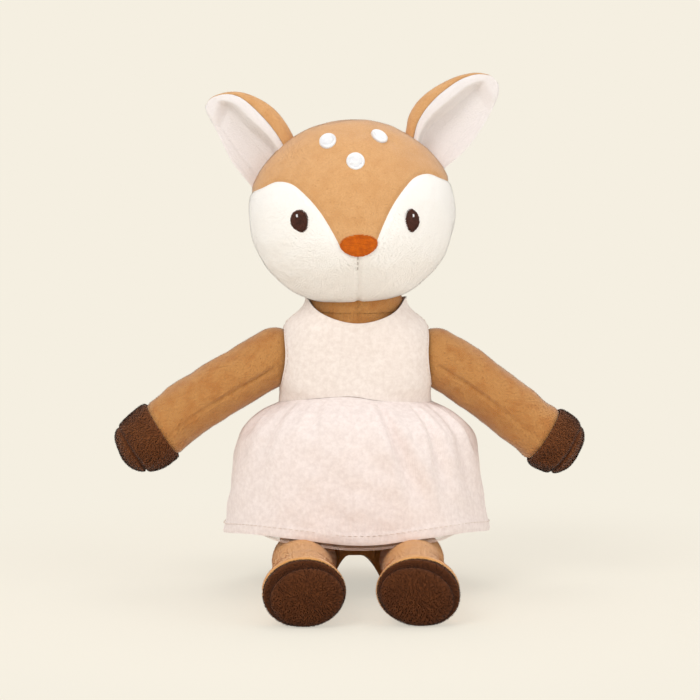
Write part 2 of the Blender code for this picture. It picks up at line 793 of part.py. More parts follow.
def make_face(parts, frame):
    """The embroidered nose, eyes, forehead spots and the stitch below the nose."""
    face_patch(
        "nose",
        (0.0, -NOSE_DROP),
        boxy_outline(NOSE_HALF_WIDTH, NOSE_HALF_HEIGHT, NOSE_TAPER),
        parts,
        THREAD_ORANGE,
        frame,
    )
    face_patch(
        "muzzle_stitch",
        (0.0, -STITCH_DROP),
        oval_outline(STITCH_HALF_WIDTH, STITCH_HALF_HEIGHT),
        parts,
        THREAD_BROWN,
        frame,
    )
    for side, sign in (("left", 1), ("right", -1)):
        face_patch(
            f"{side}_eye",
            (sign * EYE_SPACING, -EYE_DROP),
            teardrop_outline(-sign),
            parts,
            THREAD_BROWN,
            frame,
        )
        face_patch(
            f"{side}_forehead_spot",
            (sign * SPOT_SPACING, SPOT_RISE),
            oval_outline(SPOT_HALF_WIDTH, SPOT_HALF_HEIGHT),
            parts,
            THREAD_WHITE,
            frame,
        )
    face_patch(
        "middle_forehead_spot",
        (0.0, MIDDLE_SPOT_RISE),
        oval_outline(MIDDLE_SPOT_HALF_WIDTH, MIDDLE_SPOT_HALF_WIDTH),
        parts,
        THREAD_WHITE,
        frame,
    )


def ear_frame(side):
    """Root middle, length, root line and width directions of an ear.

    The root sits on the head straight out to the side at the seat angle, and the ear leans up
    from there at its own angle.
    """
    sign = 1 if side == "left" else -1
    seat = radians(EAR_SEAT_DEG)
    root = head_point(Vector((sign * cos(seat), HEAD_FORWARD / HEAD_HALF_WIDTH, sin(seat))))
    power = HEAD_ROUNDNESS - 1
    offset = root - HEAD_CENTRE
    outwards = Vector(
        (
            sign * abs(offset.x) ** power / HEAD_HALF_WIDTH**HEAD_ROUNDNESS,
            0.0,
            offset.z**power / HEAD_HALF_HEIGHT**HEAD_ROUNDNESS,
        )
    ).normalized()
    lean = radians(EAR_LEAN_DEG)
    length = Vector((sign * cos(lean), 0.0, sin(lean)))
    width = Vector((sign * sin(lean), 0.0, -cos(lean)))
    root_line = Vector((sign * outwards.z, 0.0, -sign * outwards.x))
    if root_line.dot(width) < 0:
        root_line.negate()
    return root + outwards * EAR_STANDOFF, outwards, length, root_line, width


def make_ear(side, parts, frame):
    """One ear: a plush back and a pale lining, each a cupped leaf with its own wall."""
    hinge, outwards, length, root_line, width = ear_frame(side)
    for name, shift, wall, forwards, colour in (
        (f"{side}_ear_back", SEAM_GAP / 2, EAR_BACK_WALL, False, CARAMEL),
        (f"{side}_ear_lining", -SEAM_GAP / 2, EAR_LINING_WALL, True, CREAM),
    ):
        rows = []
        for step in range(EAR_ALONG + 1):
            along = step / EAR_ALONG
            half_width = EAR_HALF_WIDTH * smooth_column(EAR_WIDTH_SHARES, 1, along)
            free = 1 - (1 - along) ** 3
            row = []
            for place in range(EAR_ACROSS + 1):
                across = 2 * place / EAR_ACROSS - 1
                reach = root_line * (EAR_ROOT_HALF_WIDTH * (1 - free)) + width * (half_width * free)
                sag = (across * EAR_ROOT_HALF_WIDTH) ** 2 / (2 * HEAD_HALF_HEIGHT) * (1 - free)
                cup = EAR_CUP * sin(pi * min(1.0, along * 1.15)) * (1 - across**2)
                point = (
                    length * (EAR_LENGTH * along)
                    + reach * across
                    - outwards * (sag + EAR_ROOT_DEPTH * (1 - free))
                )
                row.append(point + Vector((0.0, shift + cup, 0.0)))
            rows.append(row)
        mesh = grid_mesh(name, rows)
        if (mesh.polygons[0].normal.y > 0) == forwards:
            mesh.flip_normals()
        leaf = new_object(name, mesh, parts, colour)
        solidify(leaf, wall, outward=True)
        leaf.location = hinge
        carry(leaf, frame)


def limb_rings(stations, inset, around):
    """Rings of a limb along +X from (along, half width, half height, rise) stations."""
    rings = []
    for along, half_width, half_height, rise in stations:
        rings.append(
            [
                (
                    along,
                    (half_width - inset) * cos(2 * pi * step / around),
                    rise + (half_height - inset) * sin(2 * pi * step / around),
                )
                for step in range(around)
            ]
        )
    return rings


def root_dome(radius, rings):
    """Stations of the half ball at a limb's root, from beside its pole to its rim."""
    stations = []
    for step in range(1, rings):
        angle = pi / 2 * step / rings
        stations.append((-radius * cos(angle), radius * sin(angle), radius * sin(angle), 0.0))
    return stations


def filling_stations(cover, hoof, start, shrink):
    """Stations of the filling of a limb, through its cover and into its hoof.

    Where the cover ends and the hoof begins, one station between them carries the filling over.
    """
    stations = [row for row in cover if row[0] > start]
    first = (start, cover[0][1], cover[0][2], cover[0][3])
    middle = tuple(
        (last + following) / 2 for last, following in zip(cover[-1], hoof[0])
    )
    along, half_width, half_height, rise = hoof[-1]
    last = (along - shrink, half_width * FILLING_TIP_SHARE, half_height * FILLING_TIP_SHARE, rise)
    inside = [(row[0] - shrink / 2, *row[1:]) for row in hoof[1:-1]]
    return [first, *stations[:-1], middle, *inside, last]


def make_limb(name, cover, hoof, length, root_radius, place, turn, parts, cutters, flat=False):
    """A limb's cover, hoof, filling and the loose wad of filling at its root.

    Everything is made along +X about the joint, then turned and set in place. The cover is a
    round root and a tube that is open where the hoof is sewn on.
    """
    frame = Matrix.Translation(place) @ turn
    around = LIMB_AROUND
    dome = root_dome(root_radius, LIMB_DOME_RINGS)
    cover_mesh = loft_mesh(
        f"{name}_cover",
        limb_rings(dome + cover, 0.0, around),
        Vector((-root_radius, 0.0, 0.0)),
    )
    hoof_mesh = loft_mesh(
        f"{name}_hoof",
        limb_rings(hoof, 0.0, around),
        "open",
        Vector((length, 0.0, hoof[-1][3])),
    )
    made = []
    for suffix, mesh, colour in (
        ("cover", cover_mesh, CARAMEL),
        ("hoof", hoof_mesh, HOOF_BROWN),
    ):
        item = new_object(f"{name}_{suffix}", mesh, parts, colour)
        solidify(item, PLUSH_WALL)
        made.append(item)
    shrink = PLUSH_WALL + CLEARANCE
    hollow = (root_radius - PLUSH_WALL) * cos(pi / around) * cos(pi / (4 * LIMB_DOME_RINGS))
    wad_radius = hollow - CLEARANCE
    wad_name = name.replace("arm", "shoulder").replace("leg", "hip") + "_fill"
    wad = new_object(
        wad_name,
        sphere_mesh(wad_name, wad_radius, FILLING_AROUND, WAD_RINGS),
        parts,
        FILLING_WHITE,
    )
    pocket_radius = clear_radius(wad_radius, FILLING_AROUND, WAD_RINGS)
    pocket = new_object(
        f"{name}_wad_pocket",
        sphere_mesh(f"{name}_wad_pocket", pocket_radius, FILLING_AROUND, WAD_RINGS),
        cutters,
    )
    stations = filling_stations(cover, hoof, wad_radius / 2, shrink)
    filling = new_object(
        f"{name}_stuffing",
        loft_mesh(
            f"{name}_stuffing",
            limb_rings(stations, shrink * FILLING_SLACK, FILLING_AROUND),
            "flat",
            "flat",
        ),
        parts,
        FILLING_WHITE,
    )
    cut(filling, pocket)
    made += [wad, pocket, filling]
    for item in made:
        item.matrix_world = frame
    if flat:
        cut(made[0], bpy.data.objects["floor_block"])
        cut(made[1], bpy.data.objects["floor_block"])


def make_arms(parts, cutters):
    """Both arms, held out to the sides and down."""
    cover = [
        (share * ARM_LENGTH, ARM_ROOT_RADIUS * size, ARM_ROOT_RADIUS * size, 0.0)
        for share, size in ARM_FORM_SHARES
    ]
    hoof = [
        (share * ARM_LENGTH, ARM_HOOF_RADIUS * size, ARM_HOOF_RADIUS * size, 0.0)
        for share, size in ARM_HOOF_SHARES
    ]
    for side in ("left", "right"):
        drop = radians(ARM_DROP_DEG)
        turn = Matrix.Rotation(drop if side == "left" else pi - drop, 4, "Y")
        make_limb(
            f"{side}_arm",
            cover,
            hoof,
            ARM_LENGTH,
            ARM_ROOT_RADIUS,
            shoulder_place(side),
            turn,
            parts,
            cutters,
        )


def make_legs(parts, cutters):
    """Both legs, straight ahead, with the hooves cut flat where they lie on the ground."""
    cover = [
        (
            share * LEG_LENGTH,
            LEG_ROOT_RADIUS * wide,
            LEG_ROOT_RADIUS * tall,
            LEG_ROOT_RADIUS * rise,
        )
        for share, wide, tall, rise in LEG_FORM_SHARES
    ]
    hoof = [
        (
            share * LEG_LENGTH,
            LEG_HOOF_HALF_WIDTH * wide,
            LEG_HOOF_HALF_HEIGHT * tall,
            LEG_ROOT_RADIUS * rise,
        )
        for share, wide, tall, rise in LEG_HOOF_SHARES
    ]
    far = LEG_LENGTH * 2
    box_object("floor_block", (-far, -far, -far), (far, far, 0.0), cutters)
    for side in ("left", "right"):
        make_limb(
            f"{side}_leg",
            cover,
            hoof,
            LEG_LENGTH,
            LEG_ROOT_RADIUS,
            hip_place(side),
            Matrix.Rotation(-pi / 2, 4, "Z"),
            parts,
            cutters,
            flat=True,
        )


def waist_height(angle):
    """Height of the waist seam round the body. The front, at -90 degrees, rides up."""
    return WAIST_HEIGHT + WAIST_FRONT_RISE * max(0.0, -sin(angle)) ** 2


def smooth_step(value, start, end):
    """0 before the start, 1 after the end, and a smooth rise between them."""
    part = min(max((value - start) / (end - start), 0.0), 1.0)
    return part * part * (3 - 2 * part)


def hem_height(angle, drop=0.0):
    """Height of the hem round the skirt: it lies over the legs and hangs lower beside them."""
    turn = abs(np.degrees(np.arctan2(cos(angle), -sin(angle))))
    over_leg = smooth_step(turn, HEM_LEG_START_DEG, HEM_LEG_FULL_DEG)
    beside = smooth_step(turn, HEM_LEG_END_DEG, HEM_SIDE_DEG)
    middle = HEM_BETWEEN_LEGS_HEIGHT - drop
    over = HEM_OVER_LEGS_HEIGHT - drop
    side = HEM_SIDE_HEIGHT - drop
    return middle + (over - middle) * over_leg + (side - over) * beside


def skirt_rings(around, inset, start_share, drop, fold):
    """Rings of the skirt from the waist, or from lower down, to the hem."""
    rings = []
    shares = [row[0] for row in SKIRT_FORM_SHARES if row[0] >= start_share]
    for share in shares:
        wide = SKIRT_HEM_HALF_WIDTH * smooth_column(SKIRT_FORM_SHARES, 1, share) - inset
        deep = SKIRT_HEM_HALF_DEPTH * smooth_column(SKIRT_FORM_SHARES, 2, share) - inset
        ring = []
        for step in range(around):
            angle = 2 * pi * step / around
            top = waist_height(angle)
            height = top + (hem_height(angle, drop) - top) * share
            wave = fold * share**0.6 * (1 - share * 0.25) * cos(SKIRT_FOLDS * angle)
            reach = 1 + (wave - fold * share**0.6) / SKIRT_HEM_HALF_WIDTH
            ring.append((wide * reach * cos(angle), deep * reach * sin(angle), height))
        rings.append(ring)
    return rings


def make_skirt(parts):
    """The gathered skirt and the net under it, which shows below the hem."""
    mesh = loft_mesh("skirt", skirt_rings(SKIRT_AROUND, 0.0, 0.0, 0.0, SKIRT_FOLD_DEPTH))
    skirt = new_object("skirt", mesh, parts, LINEN)
    solidify(skirt, LINEN_WALL)
    inset = LINEN_WALL + NET_GAP + 2 * SKIRT_FOLD_DEPTH
    rings = skirt_rings(NET_AROUND, inset, NET_TOP_SHARE, NET_HANG, 0.0)
    mesh = loft_mesh("tulle_underskirt", rings)
    net = new_object("tulle_underskirt", mesh, parts, NET_PINK)
    solidify(net, NET_WALL)


def bodice_rings():
    """Rings of the bodice, close over the body cover and then in to the neck."""
    rings = []
    gap = CLEARANCE
    foot = BODICE_SHOULDER_FOOT_SHARE * TORSO_HEIGHT
    levels = 3
    around = TORSO_AROUND * 2
    for level in range(levels + 1):
        ring = []
        for step in range(around):
            angle = 2 * pi * step / around
            low = waist_height(angle) + SEAM_GAP
            height = low + (foot - low) * level / levels
            half_width, half_depth = torso_half_sizes(height)
            ring.append(
                ((half_width + gap) * cos(angle), (half_depth + gap) * sin(angle), height)
            )
        rings.append(ring)
    for share, wide, deep in BODICE_SHOULDER_SHARES:
        rings.append(
            oval_ring(
                (0.0, 0.0, foot + (BODICE_TOP_HEIGHT - foot) * share),
                BODICE_SHOULDER_HALF_WIDTH * wide - LINEN_WALL,
                BODICE_SHOULDER_HALF_DEPTH * deep - LINEN_WALL,
                around,
            )
        )
    return rings


def make_bodice(parts, cutters):
    """The front and the two back panels, with armholes and a neckline that dips in front."""
    far = TORSO_HEIGHT
    neckline = turned_object(
        "neckline",
        [(0.0, far), (NECKLINE_RADIUS, far), (NECKLINE_RADIUS, -far), (0.0, -far)],
        NECK_AROUND,
        cutters,
    )
    neckline.matrix_world = Matrix.Translation(
        (0.0, 0.0, NECKLINE_HEIGHT + NECKLINE_RADIUS)
    ) @ Matrix.Rotation(radians(90.0 + NECKLINE_TILT_DEG), 4, "X")
    holes = []
    for side, sign in (("left", 1), ("right", -1)):
        hole = turned_object(
            f"{side}_armhole",
            [(0.0, far), (ARMHOLE_RADIUS, far), (ARMHOLE_RADIUS, 0.0), (0.0, 0.0)],
            NECK_AROUND,
            cutters,
        )
        hole.matrix_world = Matrix.Translation(
            (sign * TORSO_HALF_WIDTH / 2, -SHOULDER_FORWARD, SHOULDER_HEIGHT + ARMHOLE_RISE)
        ) @ Matrix.Rotation(sign * pi / 2, 4, "Y")
        holes.append(hole)
        holes.append(bpy.data.objects[f"{side}_arm_sweep_outer_0"])
    for name, low, high in (
        ("bodice_front", (-far, -far, 0.0), (far, -SEAM_GAP / 2, far * 2)),
        ("bodice_back_left", (SEAM_GAP / 2, SEAM_GAP / 2, 0.0), (far, far, far * 2)),
        ("bodice_back_right", (-far, SEAM_GAP / 2, 0.0), (-SEAM_GAP / 2, far, far * 2)),
    ):
        panel = new_object(name, loft_mesh(name, bodice_rings()), parts, LINEN)
        solidify(panel, LINEN_WALL, outward=True)
        cut(panel, box_object(name + "_region", low, high, cutters), "INTERSECT")
        cut(panel, neckline)
        for hole in holes:
            if ("left" in name and "right" in hole.name) or (
                "right" in name and "left" in hole.name
            ):
                continue
            cut(panel, hole)


def back_strip(name, half_width, height, wall, parts, colour):
    """A strip down the middle of the bodice's back, at a height over the body cover."""
    low = WAIST_HEIGHT + PLACKET_MARGIN
    high = BODICE_SHOULDER_FOOT_SHARE * TORSO_HEIGHT - PLACKET_MARGIN
    rows = []
    levels = 6
    for level in range(levels + 1):
        up = low + (high - low) * level / levels
        wide, deep = torso_half_sizes(up)
        row = []
        for place in range(5):
            across = half_width * (place / 2 - 1)
            row.append((across, (deep + height) * sqrt(1 - (across / (wide + height)) ** 2), up))
        rows.append(row)
    mesh = grid_mesh(name, rows)
    if mesh.polygons[0].normal.y < 0:
        mesh.flip_normals()
    strip = new_object(name, mesh, parts, colour)
    solidify(strip, wall, outward=True)


def make_closure(parts):
    """The back opening's touch tape and the placket that covers it."""
    tape_height = CLEARANCE + LINEN_WALL + SEAM_GAP
    back_strip("closure_tape", TAPE_HALF_WIDTH, tape_height, TAPE_WALL, parts, TAPE_CREAM)
    placket_height = tape_height + TAPE_WALL + SEAM_GAP
    back_strip("back_placket", PLACKET_HALF_WIDTH, placket_height, LINEN_WALL, parts, LINEN)


def make_tail(parts):
    """A short stuffed tail, turned about its own length. Its origin is the seam it bends on."""
    stations = [
        (TAIL_ROOT_RADIUS * size, TAIL_LENGTH * share) for share, size in TAIL_FORM_SHARES
    ]
    profile = list(reversed(stations)) + arc_profile(TAIL_ROOT_RADIUS, -22.5, -90.0, 3)
    tail = turned_object("tail", profile, TAIL_AROUND, parts, CARAMEL)
    back = torso_half_sizes(TAIL_HEIGHT)[1]
    tail.matrix_world = Matrix.Translation(
        (0.0, back + CLEARANCE + TAIL_ROOT_RADIUS, TAIL_HEIGHT)
    ) @ Matrix.Rotation(-radians(90.0 - TAIL_LEAN_DEG), 4, "X")


def main():
    """Builds the toy from the seat up."""
    parts, cutters = clear_scene()
    make_body(parts, cutters)
    make_neck(parts)
    frame = head_frame(parts)
    make_head(parts, cutters, frame)
    for side in ("left", "right"):
        make_ear(side, parts, frame)
    make_arms(parts, cutters)
    make_legs(parts, cutters)
    make_skirt(parts)
    make_bodice(parts, cutters)
    make_closure(parts)
    make_tail(parts)


main()
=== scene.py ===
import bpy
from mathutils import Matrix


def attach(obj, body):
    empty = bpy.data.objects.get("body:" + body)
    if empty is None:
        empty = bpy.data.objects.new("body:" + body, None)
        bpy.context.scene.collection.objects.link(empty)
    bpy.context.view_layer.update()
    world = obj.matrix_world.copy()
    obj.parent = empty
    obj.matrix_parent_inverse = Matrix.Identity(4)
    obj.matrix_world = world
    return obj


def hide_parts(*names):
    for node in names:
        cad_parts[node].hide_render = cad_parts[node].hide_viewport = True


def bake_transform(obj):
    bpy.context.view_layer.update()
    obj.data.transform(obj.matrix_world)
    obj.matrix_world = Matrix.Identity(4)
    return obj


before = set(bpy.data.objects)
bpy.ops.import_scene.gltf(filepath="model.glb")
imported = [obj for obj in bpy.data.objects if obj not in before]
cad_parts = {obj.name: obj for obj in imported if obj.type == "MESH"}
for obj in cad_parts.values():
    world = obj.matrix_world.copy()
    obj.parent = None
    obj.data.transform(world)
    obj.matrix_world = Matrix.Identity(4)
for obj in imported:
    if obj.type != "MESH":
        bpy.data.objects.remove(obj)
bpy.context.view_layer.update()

"""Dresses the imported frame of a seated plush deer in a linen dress, in metres, +Z up, facing -Y.

Left and right are the toy's own, so its left side is at +X. Every cover is a surface worked out
on a grid, with a real wall and a real pile of short fibres, and every stitch is a thread.
"""

import logging
from dataclasses import dataclass, replace
from enum import Enum
from functools import cache
from math import cos, pi, radians, sin

import bpy
import numpy as np
from mathutils import Matrix, Vector

Array = np.ndarray
Colour = tuple[float, float, float, float]
Place = tuple[float, float, float]
LOG = logging.getLogger("plush_deer")
MM = 0.001
HEAD_PILE = 0.00045
LIMB_PILE = 0.00055
HOOF_PILE = (4.4, 0.0009, 0.00024, 0.7)
UP = np.array((0.0, 0.0, 1.0))
FORWARD = np.array((0.0, -1.0, 0.0))
LEVEL = np.array((1.0, 1.0, 0.0))
CORNERS = ((0, 0), (0, 1), (1, 1), (1, 0))


class Side(Enum):
    """The toy's own side, with the sign of its X."""

    LEFT = 1
    RIGHT = -1

    @property
    def word(self) -> str:
        """The side's name as the nodes have it."""
        return self.name.lower()


# ---------------------------------------------------------------- colours


def linear(red: float, green: float, blue: float) -> Colour:
    """A colour written as 0 to 255 in sRGB, as the linear colour that a shader takes.

    Args:
        red, green, blue: the colour's parts, 0 to 255.

    Returns:
        The linear colour with full cover.
    """
    parts = np.array((red, green, blue)) / 255.0
    low = parts / 12.92
    high = ((parts + 0.055) / 1.055) ** 2.4
    return (*np.where(parts <= 0.04045, low, high).tolist(), 1.0)


# ---------------------------------------------------------------- shapes


def smooth_table(table: tuple, shares: Array) -> Array:
    """Reads a table of (share, values...) rows on a smooth curve through its rows.

    Between two rows the value is the straight line plus t(1-t) times a bend that makes the
    slopes at both rows those of the neighbouring rows.

    Args:
        table: rows of a share and one or more values, in rising order of share.
        shares: where to read.

    Returns:
        The values, one row per share.
    """
    rows = np.asarray(table, float)
    places, values = rows[:, 0], rows[:, 1:]
    slopes = np.gradient(values, places, axis=0)
    shares = np.clip(np.asarray(shares, float), places[0], places[-1])
    index = np.clip(np.searchsorted(places, shares) - 1, 0, len(places) - 2)
    span = (places[index + 1] - places[index])[..., None]
    part = (shares[..., None] - places[index][..., None]) / span
    rise = values[index + 1] - values[index]
    start = slopes[index] * span - rise
    end = rise - slopes[index + 1] * span
    return values[index] + rise * part + part * (1 - part) * (start * (1 - part) + end * part)


def smooth_path(points: Array, count: int) -> Array:
    """A smooth open curve through points, evenly spaced along its length.

    Args:
        points: the points that the curve passes through.
        count: how many points to return.

    Returns:
        The curve's points.
    """
    points = np.asarray(points, float)
    places = lengths(points)
    fine = smooth_table(np.c_[places, points], np.linspace(0, places[-1], 12 * len(points)))
    along = lengths(fine)
    return at_lengths(fine, along, np.linspace(0, along[-1], count))


def lengths(line: Array) -> Array:
    """The distance along a line of points to each of them."""
    return np.r_[0.0, np.cumsum(np.linalg.norm(np.diff(line, axis=0), axis=1))]


def at_lengths(line: Array, along: Array, wanted: Array) -> Array:
    """The places at wanted distances along a line whose own points are at the distances given."""
    return np.stack([np.interp(wanted, along, axis) for axis in line.T], -1)


def running_stitches(line: Array, first: float, length: float, gap: float, steps: int) -> Array:
    """Lays running stitches along a line.

    Args:
        line: the line's points.
        first: the distance along it to the first stitch.
        length, gap: how long a stitch is, and the gap to the next one.
        steps: how many points each stitch has.

    Returns:
        The points, stitches by steps by the line's axes.
    """
    along = lengths(line)
    starts = np.arange(first, along[-1] - length, length + gap)
    return at_lengths(line, along, starts[:, None] + np.linspace(0, length, steps))


def smooth_step(value: Array, start: float, end: float) -> Array:
    """0 before the start, 1 after the end, and 3t^2 - 2t^3 between them."""
    part = np.clip((value - start) / (end - start), 0.0, 1.0)
    return part * part * (3 - 2 * part)


def mixed(first: Array, second: Array, part: Array) -> Array:
    """The first value where the part is 0, the second where it is 1, and evenly between."""
    return first * (1 - part) + second * part


def bell(value: Array, width: float = 1.0) -> Array:
    """1 in the middle, falling off on both sides as exp(-(value/width)^2)."""
    return np.exp(-((value / width) ** 2))


def circle(value: Array) -> Array:
    """The height of a circle of radius 1 at a place across it, and 0 outside it."""
    return np.sqrt(np.clip(1 - value**2, 0, 1))


def unit(vectors: Array) -> Array:
    """The vectors at length 1."""
    return vectors / np.maximum(np.linalg.norm(vectors, axis=-1, keepdims=True), 1e-12)


def turns_round(count: int) -> Array:
    """Evenly spaced angles right round, from 0."""
    return 2 * pi * np.arange(count) / count


def from_ahead(turn: Array) -> Array:
    """The angle from straight ahead, in degrees, for an angle from the toy's left."""
    return np.degrees(np.arctan2(np.cos(turn), -np.sin(turn)))


def ovals(sizes: Array, turn: Array, levels: Array) -> Array:
    """Points round level ovals: half sizes times the cosine and sine of each turn, at levels."""
    across, ahead = sizes[..., 0] * np.cos(turn), sizes[..., 1] * np.sin(turn)
    return np.stack((across, ahead, np.broadcast_to(levels, across.shape)), -1)


def shares_over(rows: int, columns: int) -> Array:
    """The shares of the way across and along at each point of a grid."""
    return np.stack(np.meshgrid(np.linspace(0, 1, columns), np.linspace(0, 1, rows)), -1)


def nearest(points: Array, path: Array) -> Array:
    """The distance from each point to the nearest of a path's points.

    Args:
        points: any array of points.
        path: the points of the path.

    Returns:
        The distances, in the shape of the array of points.
    """
    flat = points.reshape(-1, 3)
    found = np.empty(len(flat))
    for start in range(0, len(flat), 4000):
        part = flat[start : start + 4000, None] - path[None]
        found[start : start + 4000] = np.sqrt((part**2).sum(-1).min(1))
    return found.reshape(points.shape[:-1])


class Ripple:
    """A smooth field of soft bumps: a sum of sines of the place along fixed directions."""

    def __init__(self, size: float, seed: int, waves: int = 10) -> None:
        """Sets the directions and phases.

        Args:
            size: the usual distance from one bump to the next, in metres.
            seed: the number that the directions come from.
            waves: how many sines are summed.
        """
        made = np.random.default_rng(seed)
        ways = unit(made.normal(size=(waves, 3)))
        self.waves = ways * (2 * pi / size) * made.uniform(0.6, 1.5, (waves, 1))
        self.phases = made.uniform(0, 2 * pi, waves)

    def at(self, points: Array) -> Array:
        """The field's height at points, about -1 to 1."""
        return np.sin(points @ self.waves.T + self.phases).sum(-1) / np.sqrt(len(self.phases) * 2)


@dataclass
class Grid:
    """A surface of two parameters: rows of points, which may close into rings and poles."""

    points: Array
    ring: bool = False
    pole_start: bool = False
    pole_end: bool = False

    def normals(self) -> Array:
        """The outward direction at each point: the cross product of the two ways along it."""
        points = self.points
        if self.ring:
            across = np.roll(points, -1, 1) - np.roll(points, 1, 1)
        else:
            across = np.gradient(points, axis=1)
        along = np.gradient(points, axis=0)
        if self.pole_start:
            across[0] = across[1]
        if self.pole_end:
            across[-1] = across[-2]
        found = unit(np.cross(across, along))
        for at_pole, row in ((self.pole_start, 0), (self.pole_end, -1)):
            if at_pole and self.ring:
                found[row] = unit(found[row].mean(0))
        return found

    def facing(self, way: Array) -> "Grid":
        """The same surface, with its columns turned round if it faces against the given ways."""
        if (self.normals() * way).sum(-1).mean() >= 0:
            return self
        turned = self.points[:, ::-1]
        return Grid(turned, self.ring, self.pole_start, self.pole_end)

    def indices(self, start: int) -> Array:
        """The number of each point, with one number for all of a pole and a first column again."""
        rows, columns = self.points.shape[:2]
        found = start + np.arange(rows * columns).reshape(rows, columns)
        if self.pole_start:
            found[0] = found[0, 0]
        if self.pole_end:
            found[-1] = found[-1, 0]
        return np.c_[found, found[:, :1]] if self.ring else found


@dataclass(frozen=True)
class Pile:
    """The fibres of a plush: how close, how long and which way they lie."""

    per_mm2: float
    length: float
    width: float = 0.00018
    lean: float = 0.85
    comb: Place = (0.0, -0.2, -1.0)
    clump: float = 0.0022
    seed: int = 1


